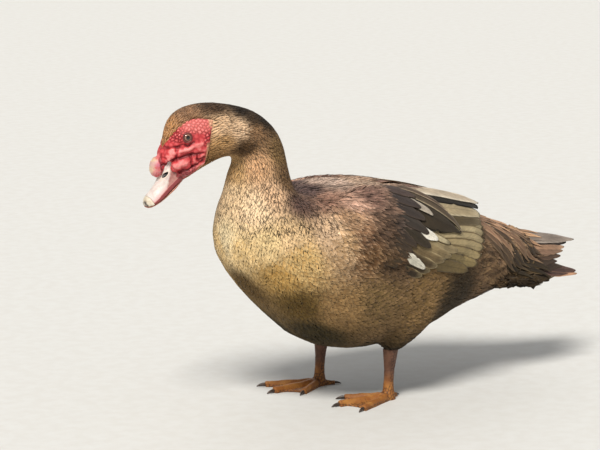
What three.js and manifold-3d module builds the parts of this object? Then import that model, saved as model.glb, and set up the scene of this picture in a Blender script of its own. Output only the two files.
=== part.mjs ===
// A domestic Muscovy drake, standing, at life size, in millimetres.
// The bird faces -X and its left side is -Y. Heights are above the floor that it stands on.
// Trunk, neck and head are stretches of one swept form, parted by thin planar cuts.
import * as THREE from "three";
import { mergeVertices } from "three/addons/utils/BufferGeometryUtils.js";
import Module from "manifold-3d";

const wasm = await Module();
wasm.setup();

// ---- driving dimensions ----

const clearance = 0.3; // between neighbouring solids
const coatClearance = 0.8; // under a wing, thigh or tail, where both faces are curved

const neckAxisX = -52; // the upright line that the head turns about
const headTurn = THREE.MathUtils.degToRad(-10); // the head looks a little to the bird's right
const eye = { centre: [-143.5, 19, 300.5], radius: 6.4 };
const nostril = { centre: [-163.6, 8.4, 260.6], length: 6.6, height: 3, depth: 3 };
const knob = { centre: [-168.3, 0, 268.5], radii: [8, 9.5, 11.5], root: [-158.5, 0, 280], rootRadius: 9 };
const nailStart = 4.6; // the bill section where the hard tip begins

const tail = {
  rootX: 215, rootZ: 172, centreX: 381, centreZ: 139.5, edgeX: 343, rootEdgeZ: 112, edgeZ: 102,
  rootHalf: 38, half: 51, thickness: 5, tipThickness: 1.6, feathers: 14,
};
const leg = {
  left: { x: 86, y: 49 },
  right: { x: 64, y: 49 },
  thighBottom: 56, ankle: 12, soleThickness: 1.8, lean: 3,
};
// Front toes: heading away from straight ahead, outwards positive, length to the claw, half width.
const toes = [
  { name: "outer", heading: 27, length: 60, half: 3.6 },
  { name: "middle", heading: -3, length: 63, half: 3.9 },
  { name: "inner", heading: -33, length: 47, half: 3.5 },
];
const hindToe = { heading: 205, length: 17, half: 2.4 };
const claw = { length: 10, radius: 2.1 };

// Sections across the flesh, from the tail to the bill. Each has its points on the back and on the
// underside (x, z), its half width, the height where it is widest as a share of the way up from
// the underside, and how square it is, where 2 is an ellipse.
const sections = [
  { name: "covertTips", back: [302, 154], under: [300, 114], half: 30, widest: 0.55, square: 2.2 },
  { name: "tailCoverts", back: [272, 168], under: [267, 100], half: 42, widest: 0.55, square: 2.2 },
  { name: "vent", back: [236, 181], under: [227, 90], half: 54, widest: 0.55, square: 2.2 },
  { name: "rump", back: [195, 198], under: [184, 80], half: 67, widest: 0.54, square: 2.2 },
  { name: "hips", back: [150, 216], under: [145, 66], half: 80, widest: 0.52, square: 2.2 },
  { name: "belly", back: [100, 230], under: [102, 57], half: 88, widest: 0.5, square: 2.2 },
  { name: "ribs", back: [52, 239], under: [56, 54], half: 91, widest: 0.5, square: 2.2 },
  { name: "shoulders", back: [12, 239], under: [10, 64], half: 90, widest: 0.5, square: 2.2 },
  { name: "keel", back: [-14, 236], under: [-26, 92], half: 86, widest: 0.5, square: 2.15 },
  { name: "breast", back: [-20, 235], under: [-62, 127], half: 77, widest: 0.5, square: 2.1 },
  { name: "crop", back: [-21, 237], under: [-90, 164], half: 64, widest: 0.5, square: 2.05 },
  { name: "neckRoot", back: [-21, 243], under: [-95, 203], half: 50, widest: 0.48, square: 2 },
  { name: "neckLow", back: [-22, 254], under: [-90, 232], half: 38, widest: 0.5, square: 2 },
  { name: "neckMid", back: [-24, 268], under: [-86.5, 251.5], half: 31, widest: 0.5, square: 2 },
  { name: "neckHigh", back: [-28, 285], under: [-81, 266], half: 27, widest: 0.5, square: 2 },
  { name: "nape", back: [-38, 303], under: [-82.5, 274.5], half: 25.5, widest: 0.5, square: 2 },
  { name: "poll", back: [-59, 320], under: [-92, 275.5], half: 26, widest: 0.5, square: 2.1 },
  { name: "crown", back: [-86, 328.5], under: [-102, 273.5], half: 27, widest: 0.5, square: 2.15 },
  { name: "cheek", back: [-114, 332], under: [-114, 268], half: 26, widest: 0.5, square: 2.2 },
  { name: "eyes", back: [-139, 328.5], under: [-125, 262], half: 22.5, widest: 0.5, square: 2.2 },
  { name: "brow", back: [-154, 318], under: [-133, 257], half: 18, widest: 0.45, square: 2.2 },
  { name: "lores", back: [-160, 303], under: [-138, 254], half: 14.5, widest: 0.45, square: 2.1 },
  { name: "billBase", back: [-163.5, 285.5], under: [-141, 252], half: 12.5, widest: 0.45, square: 2.1 },
];

// The bill from its base to its tip: points on the ridge, on the mouth line and under the lower
// jaw (x, z), and the half widths of the upper and the lower bill.
const billSections = [
  { ridge: [-163.4, 284.6], mouth: [-144.2, 256], chin: [-141.7, 252.3], upper: 11.6, lower: 9.4 },
  { ridge: [-165.2, 270], mouth: [-151, 250], chin: [-148.4, 247], upper: 11.4, lower: 9.4 },
  { ridge: [-167.2, 257], mouth: [-158, 243.6], chin: [-155.8, 241], upper: 11.4, lower: 9.4 },
  { ridge: [-172.3, 247.8], mouth: [-165, 237.4], chin: [-163.4, 235], upper: 11.8, lower: 9.4 },
  { ridge: [-177.4, 241.8], mouth: [-171.5, 232.8], chin: [-170.2, 230.6], upper: 12, lower: 9 },
  { ridge: [-181.6, 236.6], mouth: [-177.4, 229.6], chin: [-176.2, 227.6], upper: 10.8, lower: 7.6 },
  { ridge: [-183.4, 232.2], mouth: [-181.4, 228], chin: [-180.6, 226.8], upper: 6, lower: 4 },
];

// A folded wing, from the shoulder to its rear end: the sections of its upper and lower edges, those
// edges in degrees down from the back, its thickness and how far it stands off the body.
const wingRows = [
  { upperPlace: 7.8, lowerPlace: 7.8, upper: 50, lower: 66, thickness: 2.5, lift: 0 },
  { upperPlace: 7.5, lowerPlace: 7.45, upper: 36, lower: 76, thickness: 4, lift: 0 },
  { upperPlace: 6.8, lowerPlace: 6.8, upper: 30, lower: 81, thickness: 6, lift: 0 },
  { upperPlace: 5.9, lowerPlace: 6, upper: 22, lower: 85, thickness: 7.5, lift: 0 },
  { upperPlace: 4.9, lowerPlace: 5, upper: 14, lower: 89, thickness: 9, lift: 0 },
  { upperPlace: 4, lowerPlace: 4.2, upper: 11, lower: 88, thickness: 9, lift: 1.5 },
  { upperPlace: 3.2, lowerPlace: 3.5, upper: 9, lower: 80, thickness: 8, lift: 4 },
  { upperPlace: 2.6, lowerPlace: 3.1, upper: 9, lower: 68, thickness: 6, lift: 6 },
  { upperPlace: 2.3, lowerPlace: 2.9, upper: 12, lower: 56, thickness: 4.5, lift: 7 },
];

// The bare skin of a cheek, from its rear edge to the bill: the sections of its upper and lower
// edges, and those edges in degrees down from the crown.
const faceRows = [
  { upperPlace: 18.1, lowerPlace: 18.7, upper: 62, lower: 140 },
  { upperPlace: 18.9, lowerPlace: 19.3, upper: 52, lower: 146 },
  { upperPlace: 19.6, lowerPlace: 20.1, upper: 50, lower: 147 },
  { upperPlace: 20.4, lowerPlace: 20.8, upper: 46, lower: 142 },
  { upperPlace: 21.2, lowerPlace: 21.4, upper: 36, lower: 134 },
  { upperPlace: 21.86, lowerPlace: 21.86, upper: 12, lower: 118 },
];

const looks = {
  plumage: { color: 0x8a6a4b, roughness: 0.85 },
  neck: { color: 0xc3a27b, roughness: 0.85 },
  wing: { color: 0x54412f, roughness: 0.7 },
  tail: { color: 0x6b563c, roughness: 0.75 },
  face: { color: 0xc9484a, roughness: 0.5 },
  bill: { color: 0xe9cfc8, roughness: 0.4 },
  nail: { color: 0x2b2420, roughness: 0.4 },
  eye: { color: 0x241812, roughness: 0.1 },
  leg: { color: 0x5d4630, roughness: 0.65 },
  claw: { color: 0x2a211a, roughness: 0.45 },
};

// ---- curves and meshes ----

const radians = THREE.MathUtils.degToRad;
const between = (low, high, share) => low + (high - low) * share;
const rise = (low, high, value) => THREE.MathUtils.smoothstep(value, low, high);
const fall = (low, high, value) => 1 - rise(low, high, value);

// Reads a smooth curve through rows of numbers, at a place counted in rows.
function through(rows) {
  const curves = rows[0].map((_, column) => {
    const points = rows.map((row, index) => new THREE.Vector3(index, row[column], 0));
    return new THREE.CatmullRomCurve3(points, false, "catmullrom", 0.5);
  });
  return (place) => curves.map((curve) => curve.getPoint(place / (rows.length - 1)).y);
}

function meshOf(points, faces) {
  return facingOut(new THREE.BufferGeometry().setFromPoints(points).setIndex(faces));
}

// Turns every face round if the mesh is inside out.
function facingOut(geometry) {
  const position = geometry.attributes.position;
  const corners = [0, 1, 2].map(() => new THREE.Vector3());
  const index = geometry.index.array;
  let volume = 0;
  for (let face = 0; face < index.length; face += 3) {
    corners.forEach((corner, k) => corner.fromBufferAttribute(position, index[face + k]));
    volume += corners[0].dot(corners[1].cross(corners[2]));
  }
  if (volume < 0) {
    index.reverse();
  }
  return geometry;
}

// A closed mesh through rings of points, each end closed by a fan about its middle.
function loft(rings) {
  const sides = rings[0].length;
  const points = rings.flat();
  for (const ring of [rings[0], rings.at(-1)]) {
    const middle = new THREE.Vector3();
    ring.forEach((point) => middle.add(point));
    points.push(middle.divideScalar(sides));
  }
  const first = points.length - 2;
  const last = points.length - 1;
  const lastRing = (rings.length - 1) * sides;
  const faces = [];
  for (let side = 0; side < sides; side += 1) {
    const next = (side + 1) % sides;
    faces.push(first, next, side, last, lastRing + side, lastRing + next);
    for (let ring = 0; ring < rings.length - 1; ring += 1) {
      const near = ring * sides;
      const far = near + sides;
      faces.push(near + side, near + next, far + side, near + next, far + next, far + side);
    }
  }
  return meshOf(points, faces);
}

// A closed shell between two faces, outer(u, v) and inner(u, v), with u and v from 0 to 1.
function shell(columns, rows, outer, inner) {
  const points = [];
  for (const face of [outer, inner]) {
    for (let column = 0; column <= columns; column += 1) {
      for (let row = 0; row <= rows; row += 1) {
        points.push(face(column / columns, row / rows));
      }
    }
  }
  const index = (layer, column, row) => (layer * (columns + 1) + column) * (rows + 1) + row;
  const faces = [];
  const quad = (a, b, c, d) => faces.push(a, b, c, a, c, d);
  const rim = (c1, r1, c2, r2) =>
    quad(index(0, c1, r1), index(0, c2, r2), index(1, c2, r2), index(1, c1, r1));
  for (let c = 0; c < columns; c += 1) {
    for (let r = 0; r < rows; r += 1) {
      quad(index(0, c, r), index(0, c, r + 1), index(0, c + 1, r + 1), index(0, c + 1, r));
      quad(index(1, c, r), index(1, c + 1, r), index(1, c + 1, r + 1), index(1, c, r + 1));
    }
    rim(c, 0, c + 1, 0);
    rim(c + 1, rows, c, rows);
  }
  for (let r = 0; r < rows; r += 1) {
    rim(0, r + 1, 0, r);
    rim(columns, r, columns, r + 1);
  }
  return meshOf(points, faces);
}

// The same shape on the other side of the bird, still facing out.
function mirrored(geometry) {
  return facingOut(geometry.clone().scale(1, -1, 1));
}

// ---- solids that are joined or cut ----

function solidOf(geometry) {
  const bare = geometry.clone();
  bare.deleteAttribute("normal");
  bare.deleteAttribute("uv");
  const merged = mergeVertices(bare, 1e-3);
  return new wasm.Manifold(new wasm.Mesh({
    numProp: 3,
    vertProperties: merged.attributes.position.array,
    triVerts: new Uint32Array(merged.index.array),
  }));
}

// The largest piece of a solid, as a geometry. Crumbs that a cut leaves are dropped.
function geometryOf(solid) {
  const [largest] = solid.decompose().sort((a, b) => b.volume() - a.volume());
  const mesh = largest.getMesh();
  const positions = new THREE.BufferAttribute(new Float32Array(mesh.vertProperties), 3);
  const indices = new THREE.BufferAttribute(new Uint32Array(mesh.triVerts), 1);
  return new THREE.BufferGeometry().setAttribute("position", positions).setIndex(indices);
}

function ellipsoid([x, y, z], radii, { turn = 0, detail = 12 } = {}) {
  const geometry = new THREE.SphereGeometry(1, detail, Math.round(detail * 0.7));
  return solidOf(geometry.scale(...radii).rotateY(turn).translate(x, y, z));
}

// ---- the swept form of the flesh ----

const readSection = through(sections.map((row) => [
  ...row.back, ...row.under, row.half, row.widest, row.square,
]));
const placeOf = (name) => sections.findIndex((row) => row.name === name);
const powerOf = (value, power) => Math.sign(value) * Math.abs(value) ** power;

// A point on the flesh at a section place. The angle runs from 0 on the back, by a quarter turn on
// the bird's left, to a half turn underneath. Offset moves it outwards.
function fleshPoint(place, angle, offset = 0) {
  const [backX, backZ, underX, underZ, half, widest, square] = readSection(place);
  const back = new THREE.Vector3(backX, 0, backZ);
  const under = new THREE.Vector3(underX, 0, underZ);
  const depth = back.distanceTo(under);
  const up = back.sub(under).divideScalar(depth);
  const rising = powerOf(Math.cos(angle), 2 / square);
  const sideways = powerOf(Math.sin(angle), 2 / square);
  const reach = (rising > 0 ? depth * (1 - widest) : depth * widest) + offset;
  return under.addScaledVector(up, depth * widest + rising * reach)
    .add(new THREE.Vector3(0, -sideways * (half + offset), 0));
}

function fleshRings(from, to, count, sides, { offset = 0, adjust = (point) => point } = {}) {
  const rings = [];
  for (let step = 0; step <= count; step += 1) {
    const place = between(from, to, step / count);
    const ring = [];
    for (let side = 0; side < sides; side += 1) {
      ring.push(adjust(fleshPoint(place, (side / sides) * 2 * Math.PI, offset), place));
    }
    rings.push(ring);
  }
  return rings;
}

const cut = 0.02; // half of a cut between two solids, counted in sections
const neckStart = placeOf("neckRoot") + 0.4;
const headStart = placeOf("nape") - 0.4;
const headEnd = placeOf("billBase");

// The neck takes up the head's turn little by little.
function twisted(point, place) {
  const share = rise(placeOf("neckRoot"), placeOf("neckHigh"), place);
  const axis = new THREE.Vector3(neckAxisX, 0, 0);
  return point.sub(axis).applyAxisAngle(new THREE.Vector3(0, 0, 1), headTurn * share).add(axis);
}

const trunkGeometry = (offset = 0) =>
  loft(fleshRings(0, neckStart - cut, 22, 26, { offset, adjust: twisted }));

const neckGeometry = () =>
  loft(fleshRings(neckStart + cut, headStart - cut, 7, 24, { adjust: twisted }));

// The head isn't turned here, because the group that holds it is.
function headGeometry() {
  const whole = solidOf(loft(fleshRings(headStart + cut, headEnd, 15, 26)));
  return geometryOf(whole.subtract(eyeRoom(1)).subtract(eyeRoom(-1)));
}

// ---- head parts ----

function eyeGeometry() {
  const { centre: [x, y, z], radius } = eye;
  return new THREE.SphereGeometry(radius, 12, 8).rotateX(Math.PI / 2).translate(x, -y, z);
}

function eyeRoom(side) {
  const { centre: [x, y, z], radius } = eye;
  const room = radius + 2 * clearance;
  return ellipsoid([x, -y * side, z], [room, room, room]);
}

const readFace = through(faceRows.map((row) => [
  row.upperPlace, row.lowerPlace, row.upper, row.lower,
]));

// The lumpy bare skin of the left cheek, swollen into lobes beside the bill.
function faceGeometry() {
  const at = (u, v, offset) => {
    const [upperPlace, lowerPlace, upper, lower] = readFace(u * (faceRows.length - 1));
    const angle = radians(between(upper, lower, v));
    return fleshPoint(between(upperPlace, lowerPlace, v), angle, coatClearance + offset);
  };
  const lobe = (u, v, centreU, centreV, size) =>
    Math.exp(-(((u - centreU) / size) ** 2) - ((v - centreV) / size) ** 2);
  const thickness = (u, v) => {
    const fade = rise(0, 0.16, u) * rise(0, 0.2, v) * fall(0.82, 1, v) * fall(0.94, 1.1, u);
    const lobes = 2.4 * lobe(u, v, 0.86, 0.42, 0.2) + 3.4 * lobe(u, v, 0.62, 0.8, 0.24);
    return 0.7 + fade * (1.7 + lobes);
  };
  const skin = shell(10, 8, (u, v) => at(u, v, thickness(u, v)), (u, v) => at(u, v, 0));
  return geometryOf(solidOf(skin).subtract(eyeRoom(1)));
}

const readBill = through(billSections.map((row) => [
  ...row.ridge, ...row.mouth, ...row.chin, row.upper, row.lower,
]));
const billEnd = billSections.length - 1;

// A half oval on a straight lip: it bulges from the lip to the crest.
function billRing(lip, crest, half, sides) {
  const ring = [];
  const rising = new THREE.Vector3(crest[0] - lip[0], 0, crest[1] - lip[1]);
  for (let side = 0; side < sides; side += 1) {
    const angle = (side / (sides - 1)) * Math.PI;
    ring.push(new THREE.Vector3(lip[0], -Math.cos(angle) * half, lip[1])
      .addScaledVector(rising, Math.sin(angle) ** 0.85));
  }
  return ring;
}

function billLoft(from, to, count, ringAt) {
  const rings = [];
  for (let step = 0; step <= count; step += 1) {
    rings.push(ringAt(readBill(between(from, to, step / count))));
  }
  return loft(rings);
}

function upperRing([ridgeX, ridgeZ, mouthX, mouthZ, , , half], offset = 0) {
  const growth = 1 + offset / Math.hypot(ridgeX - mouthX, ridgeZ - mouthZ);
  const crest = [between(mouthX, ridgeX, growth), between(mouthZ, ridgeZ, growth)];
  return billRing([mouthX, mouthZ], crest, half + offset, 16);
}

// The flat top of the lower bill lies a clearance under the mouth line.
function lowerRing([ridgeX, ridgeZ, mouthX, mouthZ, chinX, chinZ, , half]) {
  const gap = -clearance / Math.hypot(mouthX - ridgeX, mouthZ - ridgeZ);
  const lip = [mouthX + (ridgeX - mouthX) * gap, mouthZ + (ridgeZ - mouthZ) * gap];
  return billRing(lip, [chinX, chinZ], half, 12);
}

function upperBillGeometry() {
  const { centre: [x, y, z], length, height, depth } = nostril;
  let bill = solidOf(billLoft(0, nailStart - cut, 9, upperRing));
  for (const side of [1, -1]) {
    const radii = [length / 2, depth, height / 2];
    bill = bill.subtract(ellipsoid([x, y * side, z], radii, { turn: -0.85, detail: 8 }));
  }
  return geometryOf(bill);
}

const nailGeometry = () => billLoft(nailStart + cut, billEnd, 3, upperRing);
const lowerBillGeometry = () => billLoft(0, billEnd - 0.25, 8, lowerRing);

// The fleshy knob rides on the base of the bill, clear of the bill, the head and both cheeks.
function knobGeometry() {
  const { centre, radii, root, rootRadius } = knob;
  const fleshRoom = loft(fleshRings(headStart, headEnd, 15, 26, { offset: coatClearance }));
  const billRoom = billLoft(0, nailStart - cut, 9, (row) => upperRing(row, coatClearance));
  const face = faceGeometry();
  let solid = ellipsoid(centre, radii, { turn: 0.12 })
    .add(ellipsoid(root, [rootRadius, rootRadius, rootRadius]));
  for (const room of [fleshRoom, billRoom, face, mirrored(face)]) {
    solid = solid.subtract(solidOf(room));
  }
  return geometryOf(solid);
}

// ---- wings and tail ----

const readWing = through(wingRows.map((row) => [
  row.upperPlace, row.lowerPlace, row.upper, row.lower, row.thickness, row.lift,
]));
const wingEnd = wingRows.length - 1;

function wingGeometry() {
  const at = (u, v, share) => {
    const [upperPlace, lowerPlace, upper, lower, thickness, lift] = readWing(u * wingEnd);
    const fade = 0.25 + 0.75 * rise(-0.1, 0.14, v) * fall(0.84, 1, v);
    const offset = coatClearance + lift + share * thickness * fade;
    return fleshPoint(between(upperPlace, lowerPlace, v), radians(between(upper, lower, v)), offset);
  };
  return shell(14, 9, (u, v) => at(u, v, 1), (u, v) => at(u, v, 0));
}

// A fan of rounded feathers, high along its middle and drooping to its sides.
function tailGeometry() {
  const { rootX, rootZ, centreX, centreZ, edgeX, rootEdgeZ, edgeZ, rootHalf, half, feathers } = tail;
  const columns = 7;
  const rows = feathers * 2;
  const at = (u, v, sunk) => {
    const across = v * 2 - 1;
    const scallop = 3.5 * (1 - Math.abs(Math.sin(v * feathers * Math.PI)));
    const spread = Math.min(Math.abs(across) * 1.5, 1) ** 1.35;
    const endX = between(centreX, edgeX, spread) - scallop;
    const x = between(rootX, endX, u);
    const width = between(rootHalf, half, rise(-0.1, 0.42, u));
    const ridge = between(rootZ, centreZ, ((x - rootX) / (centreX - rootX)) ** 1.3);
    const top = between(ridge, between(rootEdgeZ, edgeZ, u), Math.abs(across) ** 1.35);
    const thickness = between(tail.thickness, tail.tipThickness, u);
    return new THREE.Vector3(x, across * width, top - sunk * thickness);
  };
  const fan = shell(columns, rows, (u, v) => at(u, v, 0), (u, v) => at(u, v, 1));
  return geometryOf(solidOf(fan).subtract(solidOf(trunkGeometry(coatClearance))));
}

// ---- legs, drawn for the left side about the leg's own upright line ----

function ovalRing(x, y, z, alongX, alongY, sides) {
  const ring = [];
  for (let side = 0; side < sides; side += 1) {
    const angle = (side / sides) * 2 * Math.PI;
    ring.push(new THREE.Vector3(x + alongX * Math.cos(angle), y + alongY * Math.sin(angle), z));
  }
  return ring;
}

// The feathered thigh, swelling out of the flank and closing on the hock.
function thighGeometry({ x: legX, y: legY }) {
  const rings = [
    [28, -14, 112, 30, 18], [22, -11, 98, 31, 22], [15, -7, 82, 27, 22],
    [8, -3, 68, 19, 17], [3, -1, 60, 13.5, 12.5], [1, 0, leg.thighBottom, 10, 9],
  ].map(([x, y, z, alongX, alongY]) => ovalRing(x + legX, y - legY, z, alongX, alongY, 16));
  return geometryOf(solidOf(loft(rings)).subtract(solidOf(trunkGeometry(coatClearance))));
}

function shankGeometry() {
  const top = leg.thighBottom - clearance;
  const profile = [[1, 8.6, 7.2], [0.8, 7.4, 6], [0.5, 5.4, 4.6], [0.2, 4.9, 4.3], [0, 5.8, 5.4]];
  return loft(profile.map(([share, alongX, alongY]) =>
    ovalRing(-leg.lean * (1 - share), 0, between(leg.ankle, top, share), alongX, alongY, 12)));
}

const headingOf = (degrees) =>
  new THREE.Vector3(-Math.cos(radians(degrees)), -Math.sin(radians(degrees)), 0);

// A toe with a flat sole, whose joints swell a little.
function toeSolid({ heading, length, half }, height) {
  const ahead = headingOf(heading);
  const across = new THREE.Vector3(ahead.y, -ahead.x, 0);
  const steps = 5;
  const sides = 6;
  const rings = [];
  for (let step = 0; step <= steps; step += 1) {
    const share = step / steps;
    const swell = 1 + 0.1 * (step % 2);
    const width = half * between(1.15, 0.85, share) * swell;
    const rising = between(height, half * 1.5, share ** 0.6) * swell;
    const ring = [];
    for (let side = 0; side < sides; side += 1) {
      const angle = (side / (sides - 1)) * Math.PI;
      ring.push(ahead.clone().multiplyScalar(length * share)
        .addScaledVector(across, Math.cos(angle) * width)
        .add(new THREE.Vector3(0, 0, Math.sin(angle) * rising)));
    }
    rings.push(ring);
  }
  return solidOf(loft(rings));
}

function webSolid() {
  const tips = toes.map(({ heading, length }) => headingOf(heading).multiplyScalar(length * 0.93));
  const outline = new THREE.Shape();
  outline.moveTo(4, 0);
  outline.lineTo(tips[0].x, tips[0].y);
  for (let gap = 0; gap < tips.length - 1; gap += 1) {
    const dip = tips[gap].clone().add(tips[gap + 1]).multiplyScalar(0.42);
    outline.quadraticCurveTo(dip.x, dip.y, tips[gap + 1].x, tips[gap + 1].y);
  }
  outline.closePath();
  return solidOf(new THREE.ExtrudeGeometry(outline, {
    depth: leg.soleThickness, bevelEnabled: false, curveSegments: 6,
  }));
}

function footGeometry() {
  const ankleTop = leg.ankle - clearance;
  const ankle = loft([[0, 8, 7], [4, 7.4, 6.6], [ankleTop, 5.8, 5.4]].map(([z, alongX, alongY]) =>
    ovalRing(0, 0, z, alongX, alongY, 12)));
  const solids = [webSolid(), toeSolid(hindToe, 7), ...toes.map((toe) => toeSolid(toe, 8))];
  return geometryOf(solids.reduce((joined, solid) => joined.add(solid), solidOf(ankle)));
}

// A claw that curves down to the floor from the end of its toe.
function clawGeometry({ heading, length }, size) {
  const ahead = headingOf(heading);
  const across = new THREE.Vector3(ahead.y, -ahead.x, 0);
  const rings = [[0, 1], [0.35, 0.9], [0.7, 0.6], [1, 0.22]].map(([share, wide]) => {
    const radius = claw.radius * size * wide;
    const centre = ahead.clone().multiplyScalar(length + clearance + claw.length * size * share);
    centre.z = between(claw.radius * size + 0.6, radius + 0.1, share ** 1.6);
    const ring = [];
    for (let side = 0; side < 8; side += 1) {
      const angle = (side / 8) * 2 * Math.PI;
      ring.push(centre.clone().addScaledVector(across, radius * 0.8 * Math.cos(angle))
        .add(new THREE.Vector3(0, 0, radius * Math.sin(angle))));
    }
    return ring;
  });
  return loft(rings);
}

// ---- the bird ----

function piece(name, geometry, look) {
  const material = new THREE.MeshStandardMaterial({ metalness: 0, ...looks[look] });
  const mesh = new THREE.Mesh(geometry, material);
  mesh.name = name;
  return mesh;
}

function headGroup() {
  const group = new THREE.Group();
  const face = faceGeometry();
  const ball = eyeGeometry();
  group.add(
    piece("head", headGeometry(), "plumage"),
    piece("bill_upper", upperBillGeometry(), "bill"),
    piece("bill_lower", lowerBillGeometry(), "bill"),
    piece("bill_nail", nailGeometry(), "nail"),
    piece("bill_knob", knobGeometry(), "face"),
    piece("face_left", face, "face"),
    piece("face_right", mirrored(face), "face"),
    piece("eye_left", ball, "eye"),
    piece("eye_right", mirrored(ball), "eye"),
  );
  group.children.forEach((mesh) => mesh.position.setX(-neckAxisX));
  group.position.setX(neckAxisX);
  group.rotation.z = headTurn;
  return group;
}

function legGroup(side) {
  const { x, y } = leg[side];
  const group = new THREE.Group();
  group.add(piece(`shank_${side}`, shankGeometry(), "leg"));
  const foot = new THREE.Group();
  foot.add(piece(`foot_${side}`, footGeometry(), "leg"));
  for (const toe of toes) {
    foot.add(piece(`claw_${toe.name}_${side}`, clawGeometry(toe, 1), "claw"));
  }
  foot.add(piece(`claw_hind_${side}`, clawGeometry(hindToe, 0.75), "claw"));
  foot.position.setX(-leg.lean);
  group.add(foot);
  group.position.set(x, side === "left" ? -y : y, 0);
  group.scale.setY(side === "left" ? 1 : -1);
  return group;
}

function drake() {
  const group = new THREE.Group();
  const wing = wingGeometry();
  group.add(
    piece("trunk", trunkGeometry(), "plumage"),
    piece("neck", neckGeometry(), "neck"),
    headGroup(),
    piece("wing_left", wing, "wing"),
    piece("wing_right", mirrored(wing), "wing"),
    piece("tail", tailGeometry(), "tail"),
    piece("thigh_left", thighGeometry(leg.left), "plumage"),
    piece("thigh_right", mirrored(thighGeometry(leg.right)), "plumage"),
    legGroup("left"),
    legGroup("right"),
  );
  return group;
}

// The origin lies on the floor under the middle of the bird's length.
const bird = drake();
const length = new THREE.Box3().setFromObject(bird, true);
bird.position.setX(-(length.min.x + length.max.x) / 2);
const part = new THREE.Group();
part.add(bird);

export default part;
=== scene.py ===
# A domestic Muscovy drake, dressed for display: one skin with a bare, lobed face, a bill, glassy
# eyes, a coat of small vanes, modelled wing and tail feathers, and scaly webbed feet.
# Places are in millimetres in the frame: -X ahead, -Y the bird's left, Z above the floor.
import math
import bpy
import bmesh
import numpy as np
from mathutils import Matrix, Vector, noise
from mathutils.bvhtree import BVHTree
from mathutils.kdtree import KDTree


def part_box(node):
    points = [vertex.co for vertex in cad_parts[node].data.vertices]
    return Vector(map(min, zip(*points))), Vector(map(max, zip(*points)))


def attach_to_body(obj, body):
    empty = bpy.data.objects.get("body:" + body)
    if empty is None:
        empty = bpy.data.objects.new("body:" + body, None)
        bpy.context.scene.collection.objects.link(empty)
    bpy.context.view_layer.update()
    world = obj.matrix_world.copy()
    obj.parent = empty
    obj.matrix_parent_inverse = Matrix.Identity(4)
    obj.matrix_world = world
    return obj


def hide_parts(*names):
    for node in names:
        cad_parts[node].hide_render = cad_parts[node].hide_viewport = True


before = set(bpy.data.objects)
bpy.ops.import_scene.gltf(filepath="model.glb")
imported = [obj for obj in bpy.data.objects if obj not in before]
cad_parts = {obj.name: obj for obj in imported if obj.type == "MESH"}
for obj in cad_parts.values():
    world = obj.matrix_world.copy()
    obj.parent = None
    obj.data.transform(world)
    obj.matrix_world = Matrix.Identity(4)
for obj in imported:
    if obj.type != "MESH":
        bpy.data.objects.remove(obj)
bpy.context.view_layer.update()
mm = 0.001
chance = np.random.default_rng(23)
noise.seed_set(23)


def say(text):
    print("drake:", text, flush=True)


def rise(low, high, value):
    share = np.clip((np.asarray(value, float) - low) / (high - low), 0, 1)
    return share * share * (3 - 2 * share)


def mix(first, second, share):
    return first + (second - first) * share


def unit(vectors):
    return vectors / np.maximum(np.linalg.norm(vectors, axis=-1, keepdims=True), 1e-9)


def tone(code):  # a web colour as linear light
    parts = np.array([int(code[i:i + 2], 16) for i in (0, 2, 4)]) / 255
    return np.where(parts < 0.04045, parts / 12.92, ((parts + 0.055) / 1.055) ** 2.4)


def placed(name, data):
    made = bpy.data.objects.new(name, data)
    bpy.context.scene.collection.objects.link(made)
    return made


def aimed(name, data, towards):  # stands towards that side, and looks back from there
    made = placed(name, data)
    made.rotation_mode = "QUATERNION"
    made.rotation_quaternion = (-towards).to_track_quat("-Z", "Y")
    return made


# The camera's sensor and lens are in millimetres too, and its reach is in metres
cameraPlan = {
    "aim": (-98.25, 0, 193), "towards": (-0.565, -0.807, 0.174), "distance": 3000, "lens": 168.2,
    "sensor": 36, "reach": 60,
}


def setCamera(plan):
    data = bpy.data.cameras.new("camera")
    data.lens = plan["lens"]
    data.sensor_width = plan["sensor"]
    data.clip_end = plan["reach"]
    towards = Vector(plan["towards"]).normalized()
    camera = aimed("camera", data, towards)
    camera.location = Vector(plan["aim"]) * mm + towards * plan["distance"] * mm
    bpy.context.scene.camera = camera


lampPlan = {
    "key": {"from": (-0.62, -0.5, 0.95), "strength": 3.7, "angle": 20, "tint": (1, 0.965, 0.9)},
    "rim": {"from": (0.5, 0.75, 0.7), "strength": 0.5, "angle": 40, "tint": (0.95, 0.98, 1)},
    "sky": "efeeec", "skyStrength": 0.42,
}


def setLamps(plan):
    for name in ("key", "rim"):
        lamp = plan[name]
        data = bpy.data.lights.new(name, "SUN")
        data.energy = lamp["strength"]
        data.angle = math.radians(lamp["angle"])
        data.color = lamp["tint"]
        aimed(name, data, Vector(lamp["from"]))
    world = bpy.data.worlds.new("studio")
    world.use_nodes = True
    background = world.node_tree.nodes["Background"]
    background.inputs["Color"].default_value = (*tone(plan["sky"]), 1)
    background.inputs["Strength"].default_value = plan["skyStrength"]
    bpy.context.scene.world = world
    bpy.context.scene.view_settings.view_transform = "Standard"


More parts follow.
